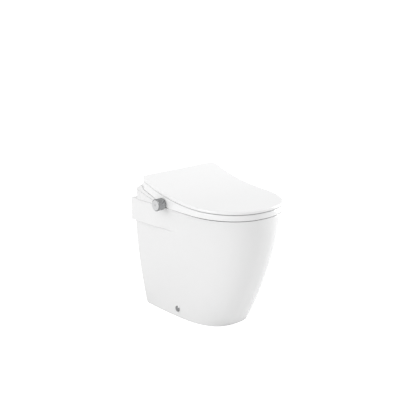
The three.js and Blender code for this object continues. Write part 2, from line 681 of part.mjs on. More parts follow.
function baseTray() {
  const armInner = LID_LUG[0];
  const armRear = HOUSING_FRONT - OVERRUN;
  const under = TRAY_BOTTOM - OVERRUN;
  const over = TRAY_TOP + OVERRUN;
  const floors = [
    box(-HOUSING_HALF, HOUSING_HALF, TRAY_REAR, HOUSING_FRONT, TRAY_BOTTOM, TRAY_TOP),
    ...[-1, 1].flatMap((side) => [
      sideBox(side, armInner, HOUSING_HALF - SIDE_PLATE - 1, armRear, ARM_PLATE_END, TRAY_BOTTOM, TRAY_TOP),
      sideBox(side, armInner, HOUSING_HALF - 1, armRear, ARM_END - 16, TRAY_BOTTOM, TRAY_TOP),
    ]),
  ];
  const wedge = cut(alongX(sideProfile(), -HOUSING_HALF, HOUSING_HALF), aboveParting(-PARTING_GAP),
    box(SIDE_PLATE - HOUSING_HALF, HOUSING_HALF - SIDE_PLATE, 0, FAR, under, SKY));
  const rearWidth = HOUSING_HALF - 1;
  const rearWall = box(-rearWidth, rearWidth, WALL_FACE, WALL_FACE + REAR_WALL, TRAY_BOTTOM,
    HINGE_HEIGHT - 11);
  const rearLink = box(-rearWidth, rearWidth, WALL_FACE + 1.2, TRAY_REAR + 1.4, TRAY_BOTTOM, TRAY_TOP);
  const cradles = [-1, 1].flatMap((side) => CRADLES.map(([x0, x1]) =>
    sideBox(side, x0, x1, HINGE_DEPTH - CRADLE_HALF, HINGE_DEPTH + CRADLE_HALF, TRAY_BOTTOM,
      HINGE_HEIGHT + 1)));
  const guidePosts = [-1, 1].map((side) => sideBox(side, ...POST, TRAY_BOTTOM, TRAY_TOP + POST_HEIGHT));
  const cuts = [
    rodX(-DAMPER_OUTER, DAMPER_OUTER, HINGE_DEPTH, HINGE_HEIGHT, DAMPER_RADIUS + GAP),
    rodZ(-BOLT_X, BOLT_DEPTH, under, over, BOLT_WAY),
    rodZ(BOLT_X, BOLT_DEPTH, under, over, BOLT_WAY),
    box(-NOZZLE_MOUTH[0], NOZZLE_MOUTH[0], NOZZLE_MOUTH[1], HOUSING_FRONT + OVERRUN, under, over),
    box(PLATE_HALF + LATCH_WAY[0], PLATE_HALF + LATCH_WAY[1], BUTTON_DEPTH - 6, BUTTON_DEPTH + 6,
      under, over),
    ...serviceWays(),
  ];
  const body = union(...floors, wedge, rearWall, rearLink, ...cradles, ...guidePosts);
  add("base_tray", cut(body, ...cuts), WHITE);
}

// The rear cover's side profile: wall side, round nose, slope, along the lid, then an arc about the hinge.
function coverProfile() {
  const bottom = TRAY_TOP + 0.4;
  const nose = spread(218, 125, 7).map((degrees) => {
    const a = THREE.MathUtils.degToRad(degrees);
    return [NOSE_CENTRE_DEPTH + NOSE_RADIUS * Math.cos(a), HINGE_HEIGHT + NOSE_RADIUS * Math.sin(a)];
  });
  const [slopeDepth, slopeHeight] = nose.at(-1);
  const crest = HINGE_DEPTH + COVER_FRONT_RADIUS - 1.5;
  const frontTop = Math.asin((lidBottom(crest) - LID_CLEARANCE - HINGE_HEIGHT) / COVER_FRONT_RADIUS);
  const frontFoot = Math.asin((bottom - HINGE_HEIGHT) / COVER_FRONT_RADIUS);
  const front = spread(frontTop, frontFoot, 6).map((a) => [
    HINGE_DEPTH + COVER_FRONT_RADIUS * Math.cos(a),
    HINGE_HEIGHT + COVER_FRONT_RADIUS * Math.sin(a),
  ]);
  const top = spread(slopeDepth + 6, front[0][0] - 3, 12).map((d) =>
    [d, Math.min(slopeHeight + NOSE_SLOPE * (d - slopeDepth), lidBottom(d) - LID_CLEARANCE)]);
  const rear = TRAY_REAR + 0.1;
  const ledge = nose[0][1] - 0.6;
  return [[rear, bottom], [rear, ledge], [nose[0][0] - 0.4, ledge], ...nose, ...top, ...front];
}

function rearCover() {
  const outline = coverProfile();
  const inner = inset(outline, COVER_WALL).map(([d, z]) => [d, z < TRAY_TOP + 6 ? TRAY_TOP - OVERRUN : z]);
  const [windowHalf, windowRear, windowHeight] = COVER_WINDOW;
  const sideWay = (side, depth, height) => rodX(side * (COVER_HALF - 2 * OVERRUN),
    side * (COVER_HALF + 2 * OVERRUN), depth, height, HOSE_HOLE, 16);
  const body = cut(
    alongX(outline, -COVER_HALF, COVER_HALF),
    alongX(inner, COVER_WALL - COVER_HALF, COVER_HALF - COVER_WALL),
    rodX(-COVER_HALF - OVERRUN, COVER_HALF + OVERRUN, HINGE_DEPTH, HINGE_HEIGHT, SHAFT_RADIUS + RUNNING),
    box(-windowHalf, windowHalf, windowRear, HOUSING_FRONT + 2 * OVERRUN, TRAY_BOTTOM,
      RIM_HEIGHT + windowHeight),
    ...serviceWays(),
    sideWay(1, BUTTON_DEPTH, BUTTON_HEIGHT),
    sideWay(-1, HOSE_DEPTH, HOSE_HEIGHT),
  );
  add("rear_cover", body, WHITE);
}

// A thin side plate over each arm, hung on the inside by a tab below the parting line.
function sideCovers() {
  const plateInner = HOUSING_HALF - SIDE_PLATE;
  const strip = (low, high) => [
    [TAB[0], partingLine(TAB[0]) + low], [TAB[1], partingLine(TAB[1]) + low],
    [TAB[1], partingLine(TAB[1]) + high], [TAB[0], partingLine(TAB[0]) + high],
  ];
  for (const [side, name] of SIDES) {
    const plate = alongSide(sideProfile(), side, plateInner, HOUSING_HALF)
      .intersect(aboveParting(PARTING_GAP));
    const tab = alongSide(strip(-6, 5), side, plateInner - 2, plateInner - GAP);
    const root = alongSide(strip(1, 5), side, plateInner - 1, plateInner + 0.5);
    const buttonWay = rodX(HOUSING_HALF - 20, HOUSING_HALF + OVERRUN, BUTTON_DEPTH, BUTTON_HEIGHT,
      BUTTON_RADIUS + BUTTON_SLIDE);
    add(`side_cover_${name}`, cut(union(plate, tab, root), buttonWay), WHITE);
  }
}

// ---- inside the housing ----
// A threaded tail through the tray's rear wall, with its flange outside and its bore right through.
function tail(name, x, span, radius, flange, sides, bore, material) {
  const line = (from, to, r, n) => rod([x, from, INLET_HEIGHT], [x, to, INLET_HEIGHT], r, n);
  add(name, cut(
    union(line(...span, radius), line(...FLANGE_SPAN, radius + flange, sides)),
    line(span[0] - OVERRUN, span[1] + OVERRUN, bore),
  ), material);
}

function serviceFittings() {
  tail("water_inlet", INLET_X, INLET_SPAN, INLET_RADIUS, 2, 6, INLET_BORE, BRASS);
  tail("cord_gland", GLAND_X, GLAND_SPAN, GLAND_RADIUS, 2.5, 20, GLAND_BORE, GREY);
  const hoseFrom = INLET_SPAN[1] + GAP;
  const hoseTo = SOLENOID[2] - GAP;
  const hose = rod([INLET_X, hoseFrom, INLET_HEIGHT], [INLET_X, hoseTo, INLET_HEIGHT], HOSE_RADIUS + 1);
  add("inlet_hose", hose, GREY);
  const [stubRadius, stubEnd] = SOLENOID_STUB;
  add("solenoid_valve", union(
    box(...SOLENOID, TRAY_TOP + 1, TRAY_TOP + SOLENOID_HEIGHT),
    rod([INLET_X, SOLENOID[3], INLET_HEIGHT], [INLET_X, stubEnd, INLET_HEIGHT], stubRadius),
  ), DARK);
  add("water_heater", union(
    box(...HEATER, TRAY_TOP + 1, TRAY_TOP + HEATER_HEIGHT),
    rodX(HEATER[0] - 3.7, HEATER[0] + 4, HOSE_DEPTH, HOSE_HEIGHT, HOSE_RADIUS),
  ), SATIN);
  add("control_board", union(
    box(...BOARD_PLATE, TRAY_TOP + 3, TRAY_TOP + 4.6),
    box(...RELAY, TRAY_TOP + 4, TRAY_TOP + 18),
    box(...PROCESSOR, TRAY_TOP + 4, TRAY_TOP + 9),
    rodZ(...CAPACITOR, TRAY_TOP + 4, TRAY_TOP + 22, 6, 16),
  ), BOARD);
  mixedWaterHose();
}

// From the heater across the housing, then forward along the arm to the mixing valve.
function mixedWaterHose() {
  const route = [
    [HEATER[0] - 4, HOSE_DEPTH], [-60, HOSE_DEPTH], [-120, HOSE_DEPTH], [-148, HOSE_DEPTH + 1],
    [-ARM_LANE, HOSE_DEPTH + 14], [-ARM_LANE, 130], [-ARM_LANE, KNOB_DEPTH - HOSE_END],
  ];
  const points = route.map(([x, d]) => new THREE.Vector3(x, WALL_Y - d, HOSE_HEIGHT));
  const path = new THREE.CatmullRomCurve3(points);
  add("mixed_water_hose", tubeAlong(path, HOSE_RADIUS, 8, 26), GREY);
}

function nozzlePoint(x, s, lift = 0) {
  return [
    x,
    NOZZLE_TIP[0] + s * Math.cos(NOZZLE_SLOPE) + lift * Math.sin(NOZZLE_SLOPE),
    NOZZLE_TIP[1] - s * Math.sin(NOZZLE_SLOPE) + lift * Math.cos(NOZZLE_SLOPE),
  ];
}

function nozzles() {
  const [guideHalfWidth, guideHalf] = GUIDE_HALF;
  const [back, front] = GUIDE_SPAN;
  const corners = [[back, -guideHalf], [front, -guideHalf], [front, guideHalf], [back, guideHalf]]
    .map(([s, lift]) => nozzlePoint(0, s, lift).slice(1));
  const along = (x, from, to, radius, sides, endRadius) =>
    rod(nozzlePoint(x, from), nozzlePoint(x, to), radius, sides, endRadius);
  const places = [[-NOZZLE_SPACING / 2, "rear"], [NOZZLE_SPACING / 2, "front"]];
  const bores = places.map(([x]) => along(x, back - 20, front + 22, NOZZLE_RADIUS + GUIDE_SLIDE));
  add("nozzle_guide", cut(alongX(corners, -guideHalfWidth, guideHalfWidth), ...bores), GREY);
  for (const [x, name] of places) {
    add(`${name}_wash_nozzle`, along(x, -NOZZLE_LENGTH, -TIP_LENGTH - GAP, NOZZLE_RADIUS), WHITE);
    const tip = union(
      along(x, -TIP_LENGTH, -TIP_CONE, TIP_RADIUS),
      along(x, -TIP_CONE, 0, TIP_RADIUS, 20, TIP_RADIUS - 2.4),
    );
    const jet = rod(nozzlePoint(x, -JET[0], 2), nozzlePoint(x, -JET[0], 9), JET[1], 12);
    add(`${name}_nozzle_tip`, cut(tip, jet), SATIN);
  }
}

// ---- hinges ----
function squareBar(side, x0, x1, size) {
  const h = size / 2;
  return sideBox(side, x0, x1, HINGE_DEPTH - h, HINGE_DEPTH + h, HINGE_HEIGHT - h, HINGE_HEIGHT + h);
}

function dampers() {
  const socket = DAMPER_OUTER - 32;
  const bar = (side, x0, x1, radius) => rodX(side * x0, side * x1, HINGE_DEPTH, HINGE_HEIGHT, radius);
  for (const [side, name] of [[-1, "seat"], [1, "lid"]]) {
    add(`${name}_damper`, cut(
      bar(side, DAMPER_INNER, DAMPER_OUTER, DAMPER_RADIUS),
      bar(side, socket, DAMPER_OUTER + OVERRUN, SHAFT_RADIUS + RUNNING),
    ), DARK);
  }
  // The seat's shaft is round through the lid's lug and square in the seat's lug.
  add("seat_damper_shaft", union(
    bar(-1, socket + 1, SEAT_LUG[0] - 1, SHAFT_RADIUS),
    squareBar(-1, SEAT_LUG[0] - 1.5, SEAT_LUG[1] - 1, SHAFT_SQUARE),
  ), STEEL);
  // The lid's shaft is square in the lid's lug, and its thinner round end carries the seat's lug.
  add("lid_damper_shaft", union(
    bar(1, socket + 1, LID_LUG[0] - 0.5, SHAFT_RADIUS),
    squareBar(1, LID_LUG[0] - 1, LID_LUG[1] + 0.5, SHAFT_SQUARE),
    bar(1, LID_LUG[1], SEAT_LUG[1] - 1, SHAFT_TIP),
  ), STEEL);
}

// ---- seat ring ----
const lowered = (top, drop) => (d) => top(d) - drop;

// The ring's plan less a margin along both its edges and everything behind a depth.
const ringInside = (margin, rear) => cut(upright(inset(SEAT_PLAN, margin)),
  upright(inset(HOLE_PLAN, -margin)), box(-FAR, FAR, 0, rear, 0, SKY));

// The room left for the housing between the seat's lugs.
const housingRoom = (grow) => box(-SEAT_LUG[0] - grow, SEAT_LUG[0] + grow, 0, RING_REAR + grow, 0, SKY);

// One lug at each rear corner: an eye round the hinge and an arm up into the ring.
function seatLugs() {
  const armEnd = HINGE_DEPTH + 34;
  const armRear = SEAT_REAR + 6;
  const arm = [
    [HINGE_DEPTH - 9, HINGE_HEIGHT + 12.5], [armRear, seatTop(armRear) - 10],
    [armEnd, seatTop(armEnd) - 6], [armEnd, seatBottom(armEnd)], [HINGE_DEPTH + 13, HINGE_HEIGHT - 7],
  ];
  return [-1, 1].flatMap((side) => [
    rodX(side * SEAT_LUG[0], side * SEAT_LUG[1], HINGE_DEPTH, HINGE_HEIGHT, SEAT_LUG_RADIUS, 32),
    alongSide(arm, side, ...SEAT_LUG),
  ]);
}

function seatRing() {
  const blank = slab(seatTop, seatBottom).intersect(upright(SEAT_PLAN));
  const body = cut(blank, upright(HOLE_PLAN), housingRoom(0));
  const room = cut(ringInside(RING_SKIN, RING_SOLID_END), housingRoom(RING_SKIN));
  const hollow = slab(lowered(seatTop, RING_SKIN), lowered(seatBottom, 10)).intersect(room);
  const stemX = [-HOUSING_HALF - 20, 10 - HOUSING_HALF];
  const stemRadius = SLEEVE_RADIUS + SLEEVE_WAY;
  const stem = rodX(...stemX, KNOB_DEPTH, KNOB_HEIGHT, stemRadius);
  const stemWay = box(...stemX, KNOB_DEPTH - SLEEVE_RADIUS - 3, KNOB_DEPTH + stemRadius,
    RIM_HEIGHT - 10, KNOB_HEIGHT);
  const sweep = [-1, 1].map((side) => rodX(side * (HOUSING_HALF - SIDE_PLATE - 1), side * (HOUSING_HALF + 10),
    HINGE_DEPTH, HINGE_HEIGHT, SWEEP_RADIUS, 40));
  const socketEnd = SEAT_LUG[1] - 0.5;
  const shaftWays = [
    squareBar(-1, SEAT_LUG[0] - OVERRUN, socketEnd, SHAFT_SQUARE + 2 * RUNNING),
    rodX(SEAT_LUG[0] - OVERRUN, socketEnd, HINGE_DEPTH, HINGE_HEIGHT, SHAFT_TIP + RUNNING),
  ];
  const shell = union(cut(body, hollow, ...sweep), ...seatLugs());
  add("seat_ring_top", cut(shell, stem, stemWay, ...shaftWays), WHITE);
}

// The ring's underside: a flat liner with a tunnel over each of the housing's arms.
function seatRingBase() {
  const liner = RING_SKIN + GAP;
  const room = cut(ringInside(liner, RING_SOLID_END + GAP), housingRoom(liner));
  const floor = (d) => seatBottom(d) + BASE_LIFT;
  const roofTop = (d) => Math.min(seatBottom(d) + TUNNEL_RISE + BASE_WALL,
    seatTop(d) - RING_SKIN - MAT_THICKNESS - 3 * GAP);
  const layer = (top, bottom) => slab(top, bottom).intersect(room);
  const tunnels = (grow) => [-1, 1].map((side) =>
    sideBox(side, TUNNEL_INNER - grow, FAR, 0, TUNNEL_END + grow, 0, SKY));
  const flat = cut(layer(lowered(floor, -BASE_WALL), floor), ...tunnels(0));
  const outside = union(...tunnels(BASE_WALL));
  const walls = cut(outside.intersect(layer(roofTop, floor)), ...tunnels(0));
  const roof = outside.intersect(layer(roofTop, lowered(roofTop, BASE_WALL)));
  const pockets = bufferPlaces.map(([x, d]) =>
    stadium(x, d, BUFFER_RADIUS + RUNNING, RIM_HEIGHT - OVERRUN, RIM_HEIGHT + 12));
  add("seat_ring_base", cut(union(flat, walls, roof), ...pockets), WHITE);
}

function heaterMat() {
  const drop = RING_SKIN + GAP;
  const mat = slab(lowered(seatTop, drop), lowered(seatTop, drop + MAT_THICKNESS))
    .intersect(ringInside(MAT_MARGIN, MAT_REAR));
  add("seat_heater_mat", mat, COPPER);
}

function stadium(x, d, radius, z0, z1) {
  const reach = BUFFER_LENGTH / 2 - BUFFER_RADIUS;
  return union(
    rodZ(x, d - reach, z0, z1, radius, 16),
    rodZ(x, d + reach, z0, z1, radius, 16),
    box(x - radius, x + radius, d - reach, d + reach, z0, z1),
  );
}

function seatBuffers() {
  bufferPlaces.forEach(([x, d], i) => {
    const buffer = stadium(x, d, BUFFER_RADIUS, RIM_HEIGHT + GAP, RIM_HEIGHT + BUFFER_HEIGHT);
    add(`seat_buffer_${i + 1}`, buffer, RUBBER);
  });
}

// ---- lid ----
// One lug at each rear corner: an eye round the hinge and an arm up under the lid.
function lidLugs() {
  const rear = SEAT_REAR + 0.4;
  const armEnd = HINGE_DEPTH + 45;
  const arm = [
    [HINGE_DEPTH - 9, HINGE_HEIGHT + 10], [rear, HINGE_HEIGHT + 30], [rear, lidTop(SEAT_REAR + 1) - 2],
    [armEnd, lidTop(armEnd) - 2], [HINGE_DEPTH + 26, HINGE_HEIGHT + 22], [HINGE_DEPTH + 12, HINGE_HEIGHT - 6],
  ];
  return [-1, 1].flatMap((side) => [
    rodX(side * LID_LUG[0], side * LID_LUG[1], HINGE_DEPTH, HINGE_HEIGHT, LID_LUG_RADIUS, 32),
    alongSide(arm, side, ...LID_LUG),
  ]);
}

function lid() {
  const hollow = slab(lowered(lidTop, LID_SKIN), lowered(lidTop, LID_THICKNESS + 10))
    .intersect(upright(inset(SEAT_PLAN, LID_RIM)));
  const shell = cut(slab(lidTop, lidBottom).intersect(upright(SEAT_PLAN)), hollow);
  const skirtRear = SEAT_REAR + 0.2;
  const skirt = box(1 - COVER_HALF, COVER_HALF - 1, skirtRear, skirtRear + SKIRT_THICKNESS, HINGE_HEIGHT + 29,
    lidTop(SEAT_REAR + 4) - 2);
  const shaftWays = [
    rodX(OVERRUN - LID_LUG[0], -LID_LUG[1] - OVERRUN, HINGE_DEPTH, HINGE_HEIGHT, SHAFT_RADIUS + RUNNING),
    squareBar(1, LID_LUG[0] - OVERRUN, LID_LUG[1] + OVERRUN, SHAFT_SQUARE + 2 * RUNNING),
  ];
  add("lid", cut(union(shell, skirt, ...lidLugs()), ...shaftWays), WHITE);
  const [x, d] = LID_BUFFER;
  for (const [side, name] of SIDES) {
    const buffer = rodZ(side * x, d, seatTop(d) + GAP, lidTop(d) - LID_SKIN - GAP, LID_BUFFER_RADIUS, 16);
    add(`lid_buffer_${name}`, buffer, RUBBER);
  }
}

// ---- knob ----
function knobGroup() {
  const bar = (from, to, radius, sides) => rodX(-from, -to, KNOB_DEPTH, KNOB_HEIGHT, radius, sides);
  const sleeveEnd = KNOB_START - 0.6;
  const stub = rod([-ARM_LANE, KNOB_DEPTH - HOSE_END + GAP, HOSE_HEIGHT],
    [-ARM_LANE, KNOB_DEPTH, HOSE_HEIGHT], HOSE_RADIUS);
  add("mixing_valve", cut(
    union(bar(...VALVE_SPAN, VALVE_RADIUS), bar(VALVE_SPAN[1] - 1, sleeveEnd, SLEEVE_RADIUS), stub),
    bar(VALVE_SPAN[0] + 10, KNOB_START + OVERRUN, SPINDLE_RADIUS + RUNNING),
  ), BRASS);
  add("bezel_nut", cut(
    bar(seatHalfAt(KNOB_DEPTH) + 0.7, sleeveEnd, BEZEL_RADIUS),
    bar(HOUSING_HALF, KNOB_START + OVERRUN, SLEEVE_RADIUS + GAP),
  ), CHROME);
  add("spindle", bar(VALVE_SPAN[0] + 11, KNOB_END - 6, SPINDLE_RADIUS), STEEL);
  const cavityEnd = KNOB_END - 5;
  const rim = cut(
    bar(KNOB_START, KNOB_END, KNOB_RADIUS, 32),
    bar(KNOB_START - KNOB_BACK, cavityEnd, KNOB_RADIUS - KNOB_WALL, 32),
  );
  add("knob", cut(
    union(rim, bar(KNOB_START + 1, cavityEnd + 1, KNOB_HUB)),
    bar(KNOB_START - KNOB_BACK, KNOB_END - OVERRUN, SPINDLE_RADIUS + GAP),
  ), CHROME);
  const faceStart = KNOB_END + GAP;
  const faceEnd = faceStart + FACE_THICKNESS;
  const faceRadius = KNOB_RADIUS - FACE_MARGIN;
  add("knob_face", cut(
    rod([-faceStart, KNOB_DEPTH, KNOB_HEIGHT], [-faceEnd, KNOB_DEPTH, KNOB_HEIGHT], faceRadius, 32,
      faceRadius - FACE_BEVEL),
    bar(faceEnd - FACE_BEVEL, faceEnd + OVERRUN, CENTRE_DOT, 16),
  ), SATIN);
}

// ---- release button ----
function releaseButton() {
  const backFace = HOUSING_HALF - BUTTON_REACH;
  const bar = (x0, x1, radius) => rodX(x0, x1, BUTTON_DEPTH, BUTTON_HEIGHT, radius);
  add("release_button", union(
    bar(backFace + 3, HOUSING_HALF + BUTTON_PROUD, BUTTON_RADIUS),
    bar(backFace, HOUSING_HALF - SIDE_PLATE - 3.2, BUTTON_RADIUS + BUTTON_FLANGE),
  ), WHITE);
  const [halfDepth, halfHeight] = LATCH_HALF;
  const piece = (x0, x1, z0, z1) => box(x0, x1, BUTTON_DEPTH - halfDepth, BUTTON_DEPTH + halfDepth, z0, z1);
  add("latch_bar", union(
    piece(LATCH_X, backFace - GAP, BUTTON_HEIGHT - halfHeight, BUTTON_HEIGHT + halfHeight),
    piece(LATCH_X, LATCH_X + LATCH_LEG, RIM_HEIGHT + 1, BUTTON_HEIGHT),
  ), STEEL);
}

pan();
panFittings();
seatFixing();
baseTray();
rearCover();
sideCovers();
serviceFittings();
nozzles();
dampers();
seatRing();
seatRingBase();
heaterMat();
seatBuffers();
lid();
knobGroup();
releaseButton();

export default model;
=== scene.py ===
"""A back-to-wall toilet pan with a slim bidet seat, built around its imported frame.

Shapes are worked out in millimetres from three values: x across (plus is the sitter's left), depth out
from the wall, and height above the floor. They are put into meshes in metres, in the frame's axes.
"""
import json
import math

import bmesh
import bpy
import numpy as np
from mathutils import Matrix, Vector


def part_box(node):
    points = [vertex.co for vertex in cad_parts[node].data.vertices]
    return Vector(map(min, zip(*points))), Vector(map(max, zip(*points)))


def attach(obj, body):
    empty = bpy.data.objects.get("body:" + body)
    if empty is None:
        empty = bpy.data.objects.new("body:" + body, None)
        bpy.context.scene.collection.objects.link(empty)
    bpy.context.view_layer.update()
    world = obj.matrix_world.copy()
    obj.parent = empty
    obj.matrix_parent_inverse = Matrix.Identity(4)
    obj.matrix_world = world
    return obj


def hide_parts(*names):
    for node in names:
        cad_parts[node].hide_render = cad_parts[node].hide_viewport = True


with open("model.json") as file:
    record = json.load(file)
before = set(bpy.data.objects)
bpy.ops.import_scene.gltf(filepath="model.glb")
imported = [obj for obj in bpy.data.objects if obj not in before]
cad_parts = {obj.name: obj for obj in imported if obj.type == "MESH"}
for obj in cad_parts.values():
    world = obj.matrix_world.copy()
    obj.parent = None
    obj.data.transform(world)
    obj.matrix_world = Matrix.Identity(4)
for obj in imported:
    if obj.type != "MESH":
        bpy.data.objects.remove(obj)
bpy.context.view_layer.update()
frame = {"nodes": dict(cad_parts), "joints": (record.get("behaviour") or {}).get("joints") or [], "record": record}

# ---- sizes read from the frame ----
MM = 0.001
JOINTS = {joint["name"]: joint for joint in frame["joints"]}


def low(node):
    """A CAD node's lowest corner in millimetres."""
    return np.array(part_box(node)[0]) / MM


def high(node):
    """A CAD node's highest corner in millimetres."""
    return np.array(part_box(node)[1]) / MM


def middle(node):
    """The middle of a CAD node's box in millimetres."""
    return (low(node) + high(node)) / 2


WALL_Y = high("pan")[1]
RIM = high("pan")[2]
PAN_NOSE = WALL_Y - low("pan")[1]
HINGE_DEPTH = WALL_Y - JOINTS["seat_hinge"]["pos_m"][1] / MM
HINGE_HEIGHT = JOINTS["seat_hinge"]["pos_m"][2] / MM
SEAT_HALF = high("lid")[0]
SEAT_FRONT = WALL_Y - low("lid")[1]
SEAT_REAR = 67.0
SEAT_WIDEST = 329.4
SEAT_REAR_NARROWING = 1.9
SEAT_ROUNDNESS = 2.23
SEAT_CORNER = 22.0

# ---- the stack of rim, ring and lid ----
RIM_GAP = 2.5
RING_THICKNESS = 20.3
LID_GAP = 2.3
LID_THICKNESS = 10.3
LID_FRONT = RIM + RIM_GAP + RING_THICKNESS + LID_GAP + LID_THICKNESS
LID_RISE = high("lid")[2] - LID_FRONT
LID_RISE_POWER = 3.5
RAMP_START = 222.0
RAMP_SLOPE = 0.315

# ---- pan: values at the foot and at the rim, with the power of the sweep between them ----
PAN_FRONT = (389.9, PAN_NOSE, 1.68)
PAN_REAR_HALF = (104.2, 156.4, 1.89)
PAN_HALF = (118.6, high("pan")[0], 0.59)
PAN_WIDEST = (215.6, 343.5)
PAN_ROUNDNESS = (2.65, 2.21)
PAN_WALL = 14.0
DECK_THICKNESS = 24.0
FIXING_WAY_RADIUS = 8.2
SHOULDER_FOOT = RIM - 91.0
SHOULDER_STEP = 9.0
SHOULDER_HALF = 173.0
SHOULDER_FADE = (120.0, 240.0)
BOWL_CENTRE = (328.0, 238.0)
BOWL_HALF_LENGTH = (176.0, 52.0)
BOWL_HALF_WIDTH = (140.0, 46.0)
BOWL_FLOOR = 125.0
BOWL_WALL = 13.0
BOWL_ROUNDNESS = 2.2
TRAP_BORE = 27.0
TRAP_WALL = 10.0
OUTLET_HEIGHT = 185.0
OUTLET_DEPTH = 12.0
FLUSH_HEIGHT = 352.0
FLUSH_BORE = 22.0
FLUSH_WALL = 9.0
WEB_THICKNESS = 14.0
WEB_HEIGHT = 60.0

# ---- housing ----
PARTING_RISE = 34.7
PARTING_SLOPE = 0.257
PARTING_ABOVE = 1.1
PARTING_BELOW = 1.0
PARTING_DEPTH = 3.0

# ---- ring ----
HOLE_CENTRE = 318.0
HOLE_HALF_LENGTH = 142.0
HOLE_HALF_WIDTH = 108.0
HOLE_ROUNDNESS = 2.3
RING_SKIN = 3.2
LUG_START = 160.0
NOTCH_DEPTH = 152.0
SOLID_END = 98.0
SWEEP_RADIUS = 22.5
SWEEP_START = 172.5
SWEEP_END = 188.0
RING_UPPER = 4.5
RING_LOWER = 0.8
RING_LIP = 7.0
RING_FOOT = 1.5
RING_DIP = 2.2
RING_LUG_END = 171.5
RING_LUG_RADIUS = 16.0
SLEEVE_START = -198.0
SLEEVE_END = -168.0
SLEEVE_RADIUS = 7.6
SLEEVE_HALF_WAY = 9.0
SQUARE_HALF = 4.3

# ---- lid ----
LID_UPPER = 5.0
LID_LOWER = 1.2
LID_RIM = 5.0
LID_PLATE = 3.8
LID_FILLET = 3.0
LID_MIDDLE = 300.0
LID_LUG = (148.0, 157.0)
LID_LUG_RADIUS = 14.0
LID_SHAFT_RADIUS = 6.1
SKIRT_HALF = 145.0

# ---- knob, its face and the ring behind it ----
KNOB_EDGE = 1.8
KNOB_BACK = 1.2
KNOB_GROOVE = 3.0
FACE_INSET = 1.9
FACE_EDGE = 0.8
FACE_DOT = 3.2
FACE_HOLLOW = 2.6
BEZEL_BORE = 6.3
BEZEL_EDGE = 0.6

# ---- side caps ----
CAP_NECK = 7.7
CAP_BULGE = 3.0

# ---- cuts that run past everything they meet ----
CUT_FOOT = 300.0
CUT_TOP = 600.0


# ---- making meshes ----
def in_frame(x, depth, z):
    """Points in metres in the frame's axes, from x, depth out from the wall and height in millimetres."""
    x, depth, z = np.broadcast_arrays(x, depth, z)
    return np.stack([x, WALL_Y - depth, z], axis=-1) * MM


def new_piece(name, corners, faces):
    """An object from corner points and faces, with doubled corners merged and its faces turned outwards."""
    mesh = bpy.data.meshes.new(name)
    mesh.from_pydata(np.reshape(corners, (-1, 3)).tolist(), [], faces)
    work = bmesh.new()
    work.from_mesh(mesh)
    bmesh.ops.remove_doubles(work, verts=work.verts, dist=1e-6)
    bmesh.ops.dissolve_degenerate(work, edges=work.edges, dist=1e-7)
    bmesh.ops.recalc_face_normals(work, faces=work.faces)
    work.to_mesh(mesh)
    work.free()
    piece = bpy.data.objects.new(name, mesh)
    bpy.context.scene.collection.objects.link(piece)
    return piece


def skin(name, rows, ring=False):
    """A closed skin through rows of points, each row a closed loop.

    The rows run from one pole to the other, where a pole is a row of equal points, or with ring=True the
    last row joins the first.
    """
    count, columns = rows.shape[:2]
    index = np.arange(count * columns).reshape(count, columns)
    if ring:
        index = np.vstack([index, index[:1]])
    beside = np.roll(index, -1, axis=1)
    quads = np.stack([index[:-1], beside[:-1], beside[1:], index[1:]], axis=-1)
    return new_piece(name, rows, quads.reshape(-1, 4).tolist())


def prism(name, profile, x0, x1):
    """A side profile of (depth, height) points pushed along x, with flat ends."""
    profile = np.array(profile, float)
    count = len(profile)
    ends = [in_frame(x, profile[:, 0], profile[:, 1]) for x in (x0, x1)]
    first = np.arange(count)
    walls = np.stack([first, np.roll(first, -1), np.roll(first, -1) + count, first + count], axis=-1)
    faces = walls.tolist() + [first.tolist(), (first + count).tolist()]
    return new_piece(name, np.concatenate(ends), faces)


def block(name, x0, x1, d0, d1, z0, z1):
    """A plain box between two x values, two depths and two heights, used to cut with."""
    return prism(name, [(d0, z0), (d1, z0), (d1, z1), (d0, z1)], x0, x1)


def lathe(name, profile, centre, axis, sides=64, ring=False):
    """A profile of (along, radius) points turned about an axis, from pole to pole.

    The point at an angle a is centre + along * axis + radius * (cos a * u + sin a * v), with u and v
    square to the axis. With ring=True the profile is a closed loop clear of the axis.
    """
    along, radius = np.array(profile, float).T
    axis = np.array(axis, float) / np.linalg.norm(axis)
    helper = np.array([0.0, 0.0, 1.0]) if abs(axis[2]) < 0.9 else np.array([1.0, 0.0, 0.0])
    u = np.cross(axis, helper)
    u /= np.linalg.norm(u)
    v = np.cross(axis, u)
    angle = np.linspace(0, 2 * math.pi, sides, endpoint=False)
    spoke = np.cos(angle)[:, None] * u + np.sin(angle)[:, None] * v
    place = np.array(centre) + along[:, None, None] * axis + radius[:, None, None] * spoke[None]
    return skin(name, in_frame(place[..., 0], place[..., 1], place[..., 2]), ring)


